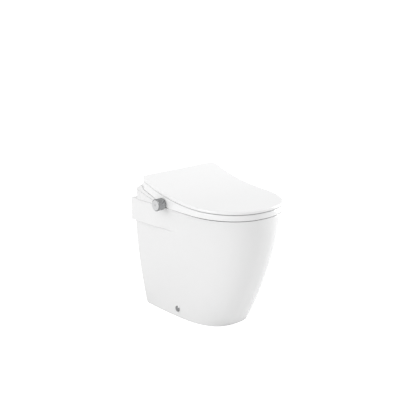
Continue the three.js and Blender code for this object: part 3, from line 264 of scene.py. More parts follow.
def swept(name, route, radius, sides=48, steps=120):
    """A round tube along a smooth line in the plane x = 0, with flat ends.

    The line is a Catmull-Rom curve through (depth, height) points: on each span the point is
    half of (2 p1 + (p2 - p0) t + (2 p0 - 5 p1 + 4 p2 - p3) t^2 + (3 p1 - p0 - 3 p2 + p3) t^3).
    """
    route = np.array(route, float)
    padded = np.vstack([2 * route[0] - route[1], route, 2 * route[-1] - route[-2]])
    place = np.linspace(0, len(route) - 1 - 1e-9, steps)
    span = place.astype(int)
    t = (place - span)[:, None]
    p0, p1, p2, p3 = (padded[span + k] for k in range(4))
    line = 0.5 * (2 * p1 + (p2 - p0) * t + (2 * p0 - 5 * p1 + 4 * p2 - p3) * t**2
                  + (3 * p1 - p0 - 3 * p2 + p3) * t**3)
    heading = np.gradient(line, axis=0)
    heading /= np.linalg.norm(heading, axis=1)[:, None]
    angle = np.linspace(0, 2 * math.pi, sides, endpoint=False)[None]
    x = np.broadcast_to(radius * np.cos(angle), (steps, sides))
    depth = line[:, :1] - heading[:, 1:] * radius * np.sin(angle)
    z = line[:, 1:] + heading[:, :1] * radius * np.sin(angle)
    rows = in_frame(x, depth, z)
    first = np.broadcast_to(rows[:1].mean(axis=1, keepdims=True), rows[:1].shape)
    last = np.broadcast_to(rows[-1:].mean(axis=1, keepdims=True), rows[-1:].shape)
    return skin(name, np.concatenate([first, rows, last]))


def settle(piece):
    """Applies the modifiers of a piece."""
    graph = bpy.context.evaluated_depsgraph_get()
    done = bpy.data.meshes.new_from_object(piece.evaluated_get(graph))
    piece.modifiers.clear()
    piece.data = done
    return piece


def carve(piece, *tools, how="DIFFERENCE"):
    """Cuts the tools out of a piece, or with how="UNION" joins them to it, and removes them."""
    for tool in tools:
        step = piece.modifiers.new("carve", "BOOLEAN")
        step.operation = how
        step.object = tool
        step.solver = "MANIFOLD"
    settle(piece)
    for tool in tools:
        bpy.data.objects.remove(tool)
    return piece


def smooth(piece, angle=32.0):
    """Shades a piece smooth, with edges sharper than an angle in degrees left crisp."""
    mesh = piece.data
    mesh.shade_smooth()
    mesh.set_sharp_from_angle(angle=math.radians(angle))
    even = piece.modifiers.new("even", "WEIGHTED_NORMAL")
    even.keep_sharp = True
    return settle(piece)


def eased(piece, width=0.5, angle=35.0, segments=2):
    """Rounds the edges of a piece that are sharper than an angle."""
    bevel = piece.modifiers.new("eased", "BEVEL")
    bevel.width = width * MM
    bevel.segments = segments
    bevel.limit_method = "ANGLE"
    bevel.angle_limit = math.radians(angle)
    return settle(piece)


def from_cad(name, node, width=0.4, angle=35.0):
    """A CAD node's own shape with its triangles merged into faces and its edges slightly rounded."""
    source = frame["nodes"][node].data
    corners = np.zeros(len(source.vertices) * 3)
    source.vertices.foreach_get("co", corners)
    index = np.zeros(len(source.loops), int)
    source.loops.foreach_get("vertex_index", index)
    piece = new_piece(name, corners, index.reshape(-1, 3).tolist())
    work = bmesh.new()
    work.from_mesh(piece.data)
    bmesh.ops.dissolve_limit(work, angle_limit=math.radians(0.6), verts=work.verts, edges=work.edges)
    work.to_mesh(piece.data)
    work.free()
    if width:
        eased(piece, width, angle)
    return smooth(piece, angle)


def hand_over(piece, body, slot, material, *nodes):
    """Gives a finished piece its material and body, and hides the CAD nodes that it stands for; slot is not used.
    """
    piece.data.materials.clear()
    piece.data.materials.append(material)
    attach(piece, body)
    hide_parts(*nodes)
    return piece


# ---- shared outlines and surfaces ----
def both_sides(x, depth, meets=True):
    """A closed loop from its half, given from the front tip to the rear: the other half has x turned round.

    meets says that the half ends on the centre line.
    """
    back = slice(-2, 0, -1) if meets else slice(None, 0, -1)
    loop_x = np.concatenate([x, -x[..., back]], axis=-1)
    loop_depth = np.concatenate([depth, depth[..., back]], axis=-1)
    return loop_x, loop_depth


def moved_out(x, depth, distance):
    """A closed loop moved along its outward normals, which are square to the line between neighbours."""
    along_x = np.roll(x, -1, axis=-1) - np.roll(x, 1, axis=-1)
    along_depth = np.roll(depth, -1, axis=-1) - np.roll(depth, 1, axis=-1)
    length = np.hypot(along_x, along_depth)
    return x - along_depth / length * distance, depth + along_x / length * distance


def quarter(half, reach, centre, power, count):
    """A superellipse quarter from its tip: x = half cos^(2/n) t, depth = centre + reach sin^(2/n) t."""
    t = np.linspace(math.pi / 2, 0, count)
    cosine = np.maximum(np.cos(t), 0)
    return half * cosine ** (2 / power), centre + reach * np.sin(t) ** (2 / power)


def oval(half_width, half_length, centre, power, count=96):
    """A whole superellipse loop, |x / a|^n + |(depth - centre) / b|^n = 1, by the angle t all round."""
    t = math.pi / 2 - np.linspace(0, 2 * math.pi, count, endpoint=False)
    cosine, sine = np.cos(t), np.sin(t)
    x = half_width * np.sign(cosine) * np.abs(cosine) ** (2 / power)
    return x, centre + half_length * np.sign(sine) * np.abs(sine) ** (2 / power)


def seat_outline():
    """Plan loop of the ring and the lid: a superellipse nose, nearly straight sides, round rear corners."""
    nose_x, nose_d = quarter(SEAT_HALF, SEAT_FRONT - SEAT_WIDEST, SEAT_WIDEST, SEAT_ROUNDNESS, 72)
    corner_d = SEAT_REAR + SEAT_CORNER
    side_d = np.linspace(SEAT_WIDEST, corner_d, 40)[1:]
    share = (SEAT_WIDEST - side_d) / (SEAT_WIDEST - SEAT_REAR)
    side_x = SEAT_HALF - SEAT_REAR_NARROWING * share**2
    turn = np.linspace(0, math.pi / 2, 14)[1:]
    corner_x = side_x[-1] - SEAT_CORNER
    bend_x = corner_x + SEAT_CORNER * np.cos(turn)
    bend_d = corner_d - SEAT_CORNER * np.sin(turn)
    rear_x = np.linspace(corner_x, 0, 24)[1:]
    rear_d = np.full(rear_x.shape, SEAT_REAR)
    x = np.concatenate([nose_x, side_x, bend_x, rear_x])
    depth = np.concatenate([nose_d, side_d, bend_d, rear_d])
    return both_sides(x, depth)


def lid_top(depth):
    """Height of the lid's top: level at the front and rising to the rear as the 3.5th power of the share."""
    share = np.maximum(SEAT_FRONT - depth, 0) / (SEAT_FRONT - SEAT_REAR)
    return LID_FRONT + LID_RISE * share**LID_RISE_POWER


def seat_top(depth):
    """Height of the ring's top, a gap below the lid."""
    return lid_top(depth) - LID_THICKNESS - LID_GAP


def seat_bottom(depth):
    """Height of the ring's underside: level over the rim, then a ramp up to the rear."""
    return RIM + RIM_GAP + RAMP_SLOPE * np.maximum(RAMP_START - depth, 0)


def arc(count, start=0.0, end=90.0):
    """Cosines and sines at evenly spaced angles in degrees."""
    angle = np.radians(np.linspace(start, end, count))
    return np.cos(angle), np.sin(angle)


# ---- materials ----
def group(name, inputs, outputs):
    """A shader node group with named sockets, given as (name, kind, value) and (name, kind)."""
    tree = bpy.data.node_groups.new(name, "ShaderNodeTree")
    for label, kind, value in inputs:
        socket = tree.interface.new_socket(label, in_out="INPUT", socket_type=kind)
        socket.default_value = value
    for label, kind in outputs:
        tree.interface.new_socket(label, in_out="OUTPUT", socket_type=kind)
    entry = tree.nodes.new("NodeGroupInput")
    leave = tree.nodes.new("NodeGroupOutput")
    return tree, entry, leave


def noise(tree, scale, detail=2.0, stretch=(1, 1, 1)):
    """Noise on Object coordinates, whose scale is a socket or a number, stretched along the axes."""
    where = tree.nodes.new("ShaderNodeTexCoord")
    turn = tree.nodes.new("ShaderNodeMapping")
    turn.inputs["Scale"].default_value = stretch
    pattern = tree.nodes.new("ShaderNodeTexNoise")
    pattern.inputs["Detail"].default_value = detail
    tree.links.new(where.outputs["Object"], turn.inputs["Vector"])
    tree.links.new(turn.outputs["Vector"], pattern.inputs["Vector"])
    if isinstance(scale, bpy.types.NodeSocket):
        tree.links.new(scale, pattern.inputs["Scale"])
    else:
        pattern.inputs["Scale"].default_value = scale
    return pattern.outputs["Fac"]


def mottle_group():
    """Colour that drifts softly between two tones over the surface."""
    tree, entry, leave = group("mottle", [
        ("Tone", "NodeSocketColor", (0.8, 0.8, 0.8, 1)),
        ("Second tone", "NodeSocketColor", (0.7, 0.7, 0.7, 1)),
        ("Scale", "NodeSocketFloat", 8.0),
    ], [("Color", "NodeSocketColor")])
    mix = tree.nodes.new("ShaderNodeMix")
    mix.data_type = "RGBA"
    tree.links.new(noise(tree, entry.outputs["Scale"], 3.0), mix.inputs["Factor"])
    tree.links.new(entry.outputs["Tone"], mix.inputs["A"])
    tree.links.new(entry.outputs["Second tone"], mix.inputs["B"])
    tree.links.new(mix.outputs["Result"], leave.inputs["Color"])
    return tree


def handling_group():
    """Roughness that varies between a polished and a handled value, by broad and fine noise together."""
    tree, entry, leave = group("handling", [
        ("Polished", "NodeSocketFloat", 0.05),
        ("Handled", "NodeSocketFloat", 0.12),
        ("Scale", "NodeSocketFloat", 14.0),
    ], [("Roughness", "NodeSocketFloat")])
    broad = noise(tree, entry.outputs["Scale"], 4.0)
    spread = tree.nodes.new("ShaderNodeMapRange")
    spread.inputs["From Min"].default_value = 0.35
    spread.inputs["From Max"].default_value = 0.75
    tree.links.new(broad, spread.inputs["Value"])
    tree.links.new(entry.outputs["Polished"], spread.inputs["To Min"])
    tree.links.new(entry.outputs["Handled"], spread.inputs["To Max"])
    tree.links.new(spread.outputs["Result"], leave.inputs["Roughness"])
    return tree


def relief_group():
    """A normal from fine surface relief: orange peel, moulded grain or drawn lines, by scale and stretch."""
    tree, entry, leave = group("relief", [
        ("Scale", "NodeSocketFloat", 300.0),
        ("Depth", "NodeSocketFloat", 0.00002),
        ("Strength", "NodeSocketFloat", 0.3),
    ], [("Normal", "NodeSocketVector")])
    bump = tree.nodes.new("ShaderNodeBump")
    tree.links.new(noise(tree, entry.outputs["Scale"], 2.0), bump.inputs["Height"])
    tree.links.new(entry.outputs["Depth"], bump.inputs["Distance"])
    tree.links.new(entry.outputs["Strength"], bump.inputs["Strength"])
    tree.links.new(bump.outputs["Normal"], leave.inputs["Normal"])
    return tree


MOTTLE = mottle_group()
HANDLING = handling_group()
RELIEF = relief_group()


def place_group(tree, kind, values):
    """Places a shared group in a material with its own values."""
    node = tree.nodes.new("ShaderNodeGroup")
    node.node_tree = kind
    for label, value in values.items():
        node.inputs[label].default_value = value
    return node


def finish(name, tone, second, polished, handled, relief, mottle_scale=9.0, handling_scale=18.0, **fixed):
    """A material with drifting tone, varying roughness and fine relief: (scale, depth, strength)."""
    material = bpy.data.materials.new(name)
    material.use_nodes = True
    tree = material.node_tree
    shader = tree.nodes["Principled BSDF"]
    colour = place_group(tree, MOTTLE, {
        "Tone": (*tone, 1), "Second tone": (*second, 1), "Scale": mottle_scale})
    rough = place_group(tree, HANDLING, {"Polished": polished, "Handled": handled, "Scale": handling_scale})
    bump = place_group(tree, RELIEF, {"Scale": relief[0], "Depth": relief[1], "Strength": relief[2]})
    tree.links.new(colour.outputs["Color"], shader.inputs["Base Color"])
    tree.links.new(rough.outputs["Roughness"], shader.inputs["Roughness"])
    tree.links.new(bump.outputs["Normal"], shader.inputs["Normal"])
    for label, value in fixed.items():
        shader.inputs[label.replace("_", " ")].default_value = value
    material.diffuse_color = (*tone, 1)
    return material


GLAZE = finish("glazed_china", (0.85, 0.85, 0.85), (0.835, 0.835, 0.836), 0.05, 0.1,
               (45, 0.0004, 0.05), IOR=1.52, Coat_Weight=0.6, Coat_Roughness=0.03)
RESIN = finish("gloss_resin", (0.885, 0.885, 0.886), (0.875, 0.875, 0.877), 0.14, 0.2,
               (900, 0.00001, 0.15), IOR=1.5, Coat_Weight=0.25, Coat_Roughness=0.06)
HOUSING = finish("housing_resin", (0.83, 0.83, 0.831), (0.82, 0.82, 0.821), 0.25, 0.29,
                 (1400, 0.00001, 0.2), IOR=1.5)
CHROME = finish("chrome_plate", (0.38, 0.385, 0.39), (0.33, 0.335, 0.34), 0.07, 0.14,
                (500, 0.000004, 0.1), Metallic=1.0)
SATIN = finish("satin_moulding", (0.63, 0.635, 0.64), (0.6, 0.605, 0.61), 0.28, 0.36,
               (1600, 0.00001, 0.2), IOR=1.5)
STEEL = finish("stainless_steel", (0.56, 0.565, 0.57), (0.5, 0.505, 0.51), 0.24, 0.38,
               (700, 0.00001, 0.3), Metallic=1.0)
RUBBER = finish("pale_elastomer", (0.58, 0.58, 0.57), (0.54, 0.54, 0.53), 0.6, 0.75,
                (1200, 0.00003, 0.4), IOR=1.5)
GREY = finish("grey_moulding", (0.27, 0.285, 0.3), (0.25, 0.265, 0.28), 0.45, 0.6,
              (1500, 0.00002, 0.35), IOR=1.5)
DARK = finish("dark_moulding", (0.028, 0.03, 0.034), (0.022, 0.024, 0.027), 0.42, 0.55,
              (1500, 0.00002, 0.35), IOR=1.5)
BRASS = finish("machined_brass", (0.62, 0.42, 0.14), (0.55, 0.36, 0.11), 0.2, 0.34,
               (800, 0.00001, 0.3), Metallic=1.0)
BOARD = finish("green_laminate", (0.03, 0.14, 0.06), (0.02, 0.11, 0.045), 0.3, 0.45,
               (900, 0.00002, 0.3), mottle_scale=300.0, IOR=1.5)
COPPER = finish("copper_foil", (0.5, 0.22, 0.1), (0.6, 0.28, 0.13), 0.25, 0.4,
                (600, 0.00002, 0.3), mottle_scale=60.0, Metallic=0.9)


# ---- pan ----
def from_foot(values, share):
    """A size on its way from the foot to the rim: foot + (rim - foot) (1 - (1 - share)^power)."""
    foot, rim, power = values
    return foot + (rim - foot) * (1 - (1 - share) ** power)


def between(values, share):
    """A value on a straight line between two."""
    return values[0] + (values[1] - values[0]) * share


def smoothstep(value, start, end):
    """3 t^2 - 2 t^3 of the share t of the way from start to end."""
    t = np.clip((value - start) / (end - start), 0, 1)
    return t * t * (3 - 2 * t)


def pan_rows(z, wall, inset, rear, edge=0.0):
    """Plan loops of the pan, one for each height in z.

    Each has a superellipse nose, sides that fall away as the square of the way to the wall, and near the
    rim a shoulder that fades out forwards. edge rounds the upright corners at the wall.
    """
    z = np.asarray(z, float)[:, None]
    inset = np.asarray(inset, float)[:, None] + wall
    share = np.clip(z / RIM, 0, 1)
    front = from_foot(PAN_FRONT, share) - inset
    rear_half = from_foot(PAN_REAR_HALF, share) - inset
    half = from_foot(PAN_HALF, share) - inset
    widest = between(PAN_WIDEST, share)
    power = between(PAN_ROUNDNESS, share)
    t = np.linspace(math.pi / 2, 0, 80)[None]
    nose_x = half * np.maximum(np.cos(t), 0) ** (2 / power)
    nose_d = widest + (front - widest) * np.sin(t) ** (2 / power)
    way = np.linspace(0, 1, 60)[None, 1:]
    side_d = widest + (rear + edge - widest) * way
    if edge:
        bend = np.linspace(0, math.pi / 2, 7)[None, 1:]
        side_d = np.concatenate([side_d, rear + edge * (1 - np.sin(bend)) + 0 * z], axis=1)
    plain = half - (half - rear_half) * ((widest - side_d) / widest) ** 2
    fade = 1 - smoothstep(side_d, *SHOULDER_FADE)
    rise = smoothstep(z, SHOULDER_FOOT, SHOULDER_FOOT + SHOULDER_STEP)
    side_x = plain + np.maximum(SHOULDER_HALF - inset - plain, 0) * fade * rise
    if edge:
        left = np.clip(1 - (side_d - rear) / edge, 0, 1)
        side_x = side_x - edge * (1 - np.sqrt(1 - left**2))
    x = np.concatenate([nose_x, side_x], axis=1)
    depth = np.concatenate([nose_d, side_d], axis=1)
    x, depth = both_sides(x, depth, meets=False)
    return in_frame(x, depth, np.broadcast_to(z, x.shape))


def with_poles(rows):
    """Rows closed with a pole at each end, on the middle of the end loops."""
    first = np.broadcast_to(rows[:1].mean(axis=1, keepdims=True), rows[:1].shape)
    last = np.broadcast_to(rows[-1:].mean(axis=1, keepdims=True), rows[-1:].shape)
    return np.concatenate([first, rows, last])


def bowl_skin(name, wall, lip):
    """The bowl from its floor to above the rim: half sizes swell as sqrt(1 - q^n) of the way q down.

    lip rounds the edge outwards at the rim: at an angle a the bowl is lip (1 - cos a) wider.
    """
    rise = np.linspace(0, 1, 60) ** 1.6
    flank = BOWL_FLOOR + (RIM - lip - BOWL_FLOOR) * rise
    cosine, sine = arc(9)
    z = np.concatenate([flank, RIM - lip + lip * sine[1:], [RIM + 4]]) if lip else np.append(flank, RIM + 4)
    grow = np.concatenate([0 * flank, lip * (1 - cosine[1:]), [lip]]) if lip else np.append(0 * flank, 0)
    q = np.clip((RIM - z) / (RIM - BOWL_FLOOR), 0, 1)
    swell = np.sqrt(1 - q**BOWL_ROUNDNESS)
    loops = []
    for height, share, step, extra in zip(z, q, swell, grow):
        half_length = between(BOWL_HALF_LENGTH[::-1], step) + wall + extra
        half_width = between(BOWL_HALF_WIDTH[::-1], step) + wall + extra
        x, depth = oval(half_width, half_length, between(BOWL_CENTRE, share**1.3), BOWL_ROUNDNESS, 128)
        loops.append(in_frame(x, depth, height))
    rows = np.array(loops)
    if wall:
        rows[0, :, 2] -= wall * MM
    return skin(name, with_poles(rows))


TRAP_ROUTE = [(262, 172), (232, 136), (190, 126), (152, 152), (128, 196), (100, 222), (70, 208),
              (46, OUTLET_HEIGHT + 5), (28, OUTLET_HEIGHT)]


def trap(name, radius, end):
    """The trapway: down out of the bowl, up over the weir and back to the outlet."""
    return swept(name, TRAP_ROUTE + [(end, OUTLET_HEIGHT)], radius)


def bar(name, start, end, radius, sides=48):
    """A round bar between two (x, depth, height) points."""
    start, end = np.array(start, float), np.array(end, float)
    length = np.linalg.norm(end - start)
    return lathe(name, [(0, 0), (0, radius), (length, radius), (length, 0)], start, end - start, sides)


def make_pan():
    """One glazed body: the swept outside, less its hollow underside, bowl, trapway and flush way."""
    foot, rim = 2.0, 1.6
    foot_cos, foot_sin = arc(5)
    rim_cos, rim_sin = arc(7)
    flank = np.concatenate([
        np.linspace(foot, SHOULDER_FOOT - 3, 60),
        np.linspace(SHOULDER_FOOT - 1, SHOULDER_FOOT + SHOULDER_STEP + 2, 18),
        np.linspace(SHOULDER_FOOT + SHOULDER_STEP + 6, RIM - rim, 16),
    ])
    z = np.concatenate([foot * (1 - foot_cos[:-1]), flank, RIM - rim + rim * rim_sin[1:]])
    inset = np.concatenate([foot * (1 - foot_sin[:-1]), 0 * flank, rim * (1 - rim_cos[1:])])
    outside = skin("pan_china", with_poles(pan_rows(z, 0, inset, 0, edge=4.0)))
    deck = RIM - DECK_THICKNESS
    levels = np.concatenate([np.linspace(-5, SHOULDER_FOOT, 30), np.linspace(SHOULDER_FOOT + 5, deck, 6)])
    hollow = skin("hollow", with_poles(pan_rows(levels, PAN_WALL, 0 * levels, -5.0)))
    web_half = WEB_THICKNESS / 2
    carve(
        hollow,
        bowl_skin("bowl_outside", BOWL_WALL, 0),
        trap("trap_outside", TRAP_BORE + TRAP_WALL, OUTLET_DEPTH),
        bar("flush_outside", (0, OUTLET_DEPTH, FLUSH_HEIGHT), (0, 175, FLUSH_HEIGHT),
            FLUSH_BORE + FLUSH_WALL),
        block("web", -200, 200, WALL_Y - web_half, WALL_Y + web_half, -10, WEB_HEIGHT),
    )
    fixing = middle("side_cap_left")
    fixing_depth, fixing_height = WALL_Y - fixing[1], fixing[2]
    ways = [
        bar("way", (side * (fixing[0] - 40), fixing_depth, fixing_height),
            (side * (fixing[0] + 20), fixing_depth, fixing_height), FIXING_WAY_RADIUS, 32)
        for side in (-1, 1)
    ]
    carve(
        outside,
        hollow,
        bowl_skin("bowl_inside", 0, 6.0),
        trap("trap_inside", TRAP_BORE, -10),
        bar("flush_inside", (0, -5, FLUSH_HEIGHT), (0, 190, FLUSH_HEIGHT), FLUSH_BORE),
        *ways,
    )
    smooth(outside, 38)
    return hand_over(outside, "pan_and_housing", "glaze", GLAZE, "pan", "bowl", "trapway", "flush_way")


# ---- seat ring ----
def hole_outline(outer_x, outer_d):
    """The edge of the hole, a superellipse, in the same directions as the points of the seat's outline."""
    angle = np.arctan2(outer_d - HOLE_CENTRE, outer_x)
    reach = (np.abs(np.cos(angle) / HOLE_HALF_WIDTH) ** HOLE_ROUNDNESS
             + np.abs(np.sin(angle) / HOLE_HALF_LENGTH) ** HOLE_ROUNDNESS) ** (-1 / HOLE_ROUNDNESS)
    return reach * np.cos(angle), HOLE_CENTRE + reach * np.sin(angle)


def ring_band(outer, inner):
    """A rounded band between the seat's outline and the hole, in one closed sweep."""
    rows = []

    def add(x, depth, z):
        rows.append(in_frame(x, depth, z))

    for cosine, sine in zip(*arc(5)):
        x, depth = moved_out(*outer, -RING_LOWER * (1 - sine))
        add(x, depth, seat_bottom(depth) + RING_LOWER * (1 - cosine))
    for cosine, sine in zip(*arc(8)):
        x, depth = moved_out(*outer, -RING_UPPER * (1 - cosine))
        add(x, depth, seat_top(depth) - RING_UPPER * (1 - sine))
    start_x, start_d = moved_out(*outer, -RING_UPPER)
    end_x, end_d = moved_out(*inner, RING_LIP)
    for share in np.linspace(0, 1, 22)[1:-1]:
        x, depth = between((start_x, end_x), share), between((start_d, end_d), share)
        add(x, depth, seat_top(depth) - RING_DIP * smoothstep(share, 0.35, 1.0))
    for cosine, sine in zip(*arc(10)):
        x, depth = moved_out(*inner, RING_LIP * (1 - sine))
        add(x, depth, seat_top(depth) - RING_DIP - RING_LIP * (1 - cosine))
    for cosine, sine in zip(*arc(4)):
        x, depth = moved_out(*inner, RING_FOOT * (1 - cosine))
        add(x, depth, seat_bottom(depth) + RING_FOOT * (1 - sine))
    for share in np.linspace(1, 0, 16)[1:-1]:
        x, depth = between((outer[0], inner[0]), share), between((outer[1], inner[1]), share)
        add(x, depth, seat_bottom(depth))
    return skin("seat_ring_shell", np.array(rows), ring=True)


def ring_hollow(outer, inner):
    """The space under the ring's skin, kept clear of the housing's notch and of the solid rear."""
    outer_x, outer_d = moved_out(*outer, -RING_SKIN)
    inner_x, inner_d = moved_out(*inner, RING_SKIN)
    rows = []
    for share in np.linspace(0, 1, 12):
        x, depth = between((outer_x, inner_x), share), between((outer_d, inner_d), share)
        edge = 3.0 * (smoothstep(share, 0.75, 1.0) + (1 - smoothstep(share, 0, 0.15)) * 0.5)
        rows.append(in_frame(x, depth, seat_top(depth) - RING_SKIN - RING_DIP - edge))
    for share in np.linspace(1, 0, 12):
        x, depth = between((outer_x, inner_x), share), between((outer_d, inner_d), share)
        rows.append(in_frame(x, depth, seat_bottom(depth) - 10))
    hollow = skin("inside", np.array(rows), ring=True)
    notch = LUG_START + RING_SKIN
    carve(
        hollow,
        block("housing_skin", -notch, notch, 0, NOTCH_DEPTH + RING_SKIN, CUT_FOOT, CUT_TOP),
        block("rear_solid", -300, 300, 0, SOLID_END, CUT_FOOT, CUT_TOP),
    )
    return hollow


def ring_ways():
    """What the ring stays clear of: the housing, the knob's sleeve and the sweep of the hinge."""
    knob = middle("bezel_nut")
    knob_depth = WALL_Y - knob[1]
    ways = [
        block("housing", -LUG_START, LUG_START, 0, NOTCH_DEPTH, CUT_FOOT, CUT_TOP),
        bar("sleeve", (SLEEVE_START, knob_depth, knob[2]), (SLEEVE_END, knob_depth, knob[2]), SLEEVE_RADIUS),
        block("sleeve_way", SLEEVE_START, SLEEVE_END, knob_depth - SLEEVE_HALF_WAY,
              knob_depth + SLEEVE_RADIUS, RIM - 10, knob[2]),
    ]
    for side in (-1, 1):
        ways.append(bar("sweep", (side * SWEEP_START, HINGE_DEPTH, HINGE_HEIGHT),
                        (side * SWEEP_END, HINGE_DEPTH, HINGE_HEIGHT), SWEEP_RADIUS, 96))
    return ways


def ring_lugs():
    """A round lug about the hinge line on each side, with the root that joins it to the ring."""
    lugs = []
    for side in (-1, 1):
        x0, x1 = side * LUG_START, side * RING_LUG_END
        lugs.append(bar("lug", (x0, HINGE_DEPTH, HINGE_HEIGHT), (x1, HINGE_DEPTH, HINGE_HEIGHT),
                        RING_LUG_RADIUS, 96))
        root = HINGE_DEPTH + 34
        lugs.append(prism("lug_root", [
            (HINGE_DEPTH - 9, HINGE_HEIGHT + 12.5), (SEAT_REAR + 6, seat_top(SEAT_REAR + 6) - 10),
            (root, seat_top(root) - 6), (root, seat_bottom(root)), (HINGE_DEPTH + 13, HINGE_HEIGHT - 7),
        ], x0, x1))
    return lugs


def make_ring():
    """The ring's shell with its hollow underside, hinge lugs and the ways for their shafts."""
    outer = seat_outline()
    inner = hole_outline(*outer)
    shell = ring_band(outer, inner)
    carve(shell, ring_hollow(outer, inner), *ring_ways())
    carve(shell, *ring_lugs(), how="UNION")
    carve(
        shell,
        bar("shaft_way", (155, HINGE_DEPTH, HINGE_HEIGHT), (171, HINGE_DEPTH, HINGE_HEIGHT), SQUARE_HALF),
        block("square_way", -171, -155, HINGE_DEPTH - SQUARE_HALF, HINGE_DEPTH + SQUARE_HALF,
              HINGE_HEIGHT - SQUARE_HALF, HINGE_HEIGHT + SQUARE_HALF),
    )
    smooth(shell, 34)
    return hand_over(shell, "seat", "white_plastic", RESIN, "seat_ring_top")


# ---- lid ----
def make_lid():
    """The lid in one closed sweep, from the middle of its hollow underside round its edge to its top."""
    outline_x, outline_d = seat_outline()
    rows = []

    def add(inset, share, drop):
        """A loop inset from the outline, drawn in to a share about the middle, below the top by a drop."""
        x, depth = moved_out(outline_x, outline_d, -inset)
        x, depth = x * share, LID_MIDDLE + (depth - LID_MIDDLE) * share
        rows.append(in_frame(x, depth, lid_top(depth) - drop))

    for share in np.linspace(0, 1, 26)[:-1] ** 0.8:
        add(LID_RIM + LID_FILLET, share, LID_PLATE)
    for cosine, sine in zip(*arc(5)):
        add(LID_RIM + LID_FILLET * (1 - sine), 1, LID_PLATE + LID_FILLET * (1 - cosine))
    for cosine, sine in zip(*arc(4)):
        add(LID_RIM - (1 - cosine), 1, LID_THICKNESS - (1 - sine))
    for cosine, sine in zip(*arc(4)):
        add(LID_LOWER * (1 - sine), 1, LID_THICKNESS - LID_LOWER * (1 - cosine))
    for cosine, sine in zip(*arc(9)):
        add(LID_UPPER * (1 - cosine), 1, LID_UPPER * (1 - sine))
    for share in np.linspace(1, 0, 30)[1:] ** 0.8:
        add(LID_UPPER, share, 0)
    shell = skin("lid_shell", np.array(rows))
    foot = HINGE_HEIGHT + 29
    parts = [block("skirt", -SKIRT_HALF, SKIRT_HALF, SEAT_REAR + 0.2, SEAT_REAR + 3.4, foot,
                   lid_top(SEAT_REAR + 4) - 2)]
    for side in (-1, 1):
        x0, x1 = (side * end for end in LID_LUG)
        parts.append(bar("lug", (x0, HINGE_DEPTH, HINGE_HEIGHT), (x1, HINGE_DEPTH, HINGE_HEIGHT),
                         LID_LUG_RADIUS, 96))
        parts.append(prism("lug_root", [
            (HINGE_DEPTH - 9, HINGE_HEIGHT + 10), (SEAT_REAR + 0.4, HINGE_HEIGHT + 30),
            (SEAT_REAR + 0.4, lid_top(SEAT_REAR + 1) - 2), (HINGE_DEPTH + 45, lid_top(HINGE_DEPTH + 45) - 2),
            (HINGE_DEPTH + 26, HINGE_HEIGHT + 22), (HINGE_DEPTH + 12, HINGE_HEIGHT - 6),
        ], x0, x1))
    carve(shell, *parts, how="UNION")
    carve(
        shell,
        bar("shaft_way", (-146, HINGE_DEPTH, HINGE_HEIGHT), (-160, HINGE_DEPTH, HINGE_HEIGHT),
            LID_SHAFT_RADIUS),
        block("square_way", 146, 160, HINGE_DEPTH - SQUARE_HALF, HINGE_DEPTH + SQUARE_HALF,
              HINGE_HEIGHT - SQUARE_HALF, HINGE_HEIGHT + SQUARE_HALF),
    )
    smooth(shell, 34)
    return hand_over(shell, "lid", "white_plastic", RESIN, "lid")


# ---- knob ----
def knob_axis():
    """Depth and height of the line that the knob turns about."""
    where = middle("knob")
    return WALL_Y - where[1], where[2]


def half_height(node):
    """The radius of a round node whose axis lies across."""
    return (high(node)[2] - low(node)[2]) / 2


def make_knob():
    """Chrome knob turned with a rounded back, a crisp front edge and a raised rim around its face."""
    radius = half_height("knob")
    start = -high("knob")[0] + 1.0
    length = -low("knob")[0] - start
    back_cos, back_sin = arc(6)
    profile = [(5.0, 0), (5.0, radius - 3), (0.3, radius - 3), (0, radius - 2.6), (0, radius - KNOB_BACK)]
    profile += list(zip(KNOB_BACK * (1 - back_cos), radius - KNOB_BACK * (1 - back_sin)))
    profile += list(zip(length - KNOB_EDGE * (1 - back_sin), radius - KNOB_EDGE * (1 - back_cos)))
    floor = length - KNOB_GROOVE
    profile += [(length, radius - KNOB_EDGE - 0.1), (floor, radius - KNOB_EDGE - 0.2), (floor, 0)]
    body = lathe("knob_body", profile, (-start, *knob_axis()), (-1, 0, 0), 128)
    smooth(body, 30)
    hand_over(body, "knob", "chrome", CHROME, "knob")


def make_knob_face():
    """Satin disc in the front of the knob, with a shallow dish and a small hollow at its middle."""
    face_low, face_high = low("knob_face"), high("knob_face")
    radius = half_height("knob_face") - FACE_INSET
    thick = face_high[0] - face_low[0]
    dish, hollow = thick - 0.35, thick - FACE_HOLLOW
    edge_cos, edge_sin = arc(6)
    profile = [(0.2 - KNOB_GROOVE, 0), (0.2 - KNOB_GROOVE, radius)]
    profile += list(zip(thick - FACE_EDGE * (1 - edge_sin), radius - FACE_EDGE * (1 - edge_cos)))
    profile += [(thick, radius - 1.0), (dish, radius - 1.6), (dish, FACE_DOT + 0.5)]
    profile += [(hollow, FACE_DOT), (hollow, 0)]
    face = lathe("knob_disc", profile, (face_high[0], *knob_axis()), (-1, 0, 0), 128)
    smooth(face, 30)
    hand_over(face, "knob", "satin", SATIN, "knob_face")


def make_bezel():
    """Chrome ring behind the knob, with both its outer edges chamfered."""
    nut_low, nut_high = low("bezel_nut"), high("bezel_nut")
    radius = half_height("bezel_nut")
    length = nut_high[0] - nut_low[0]
    profile = [(0, BEZEL_BORE), (0, radius - BEZEL_EDGE), (BEZEL_EDGE, radius)]
    profile += [(length - BEZEL_EDGE, radius), (length, radius - BEZEL_EDGE), (length, BEZEL_BORE)]
    nut = lathe("bezel_ring", profile, (nut_high[0], *knob_axis()), (-1, 0, 0), 96, ring=True)
    smooth(nut, 30)
    hand_over(nut, "pan_and_housing", "chrome", CHROME, "bezel_nut")


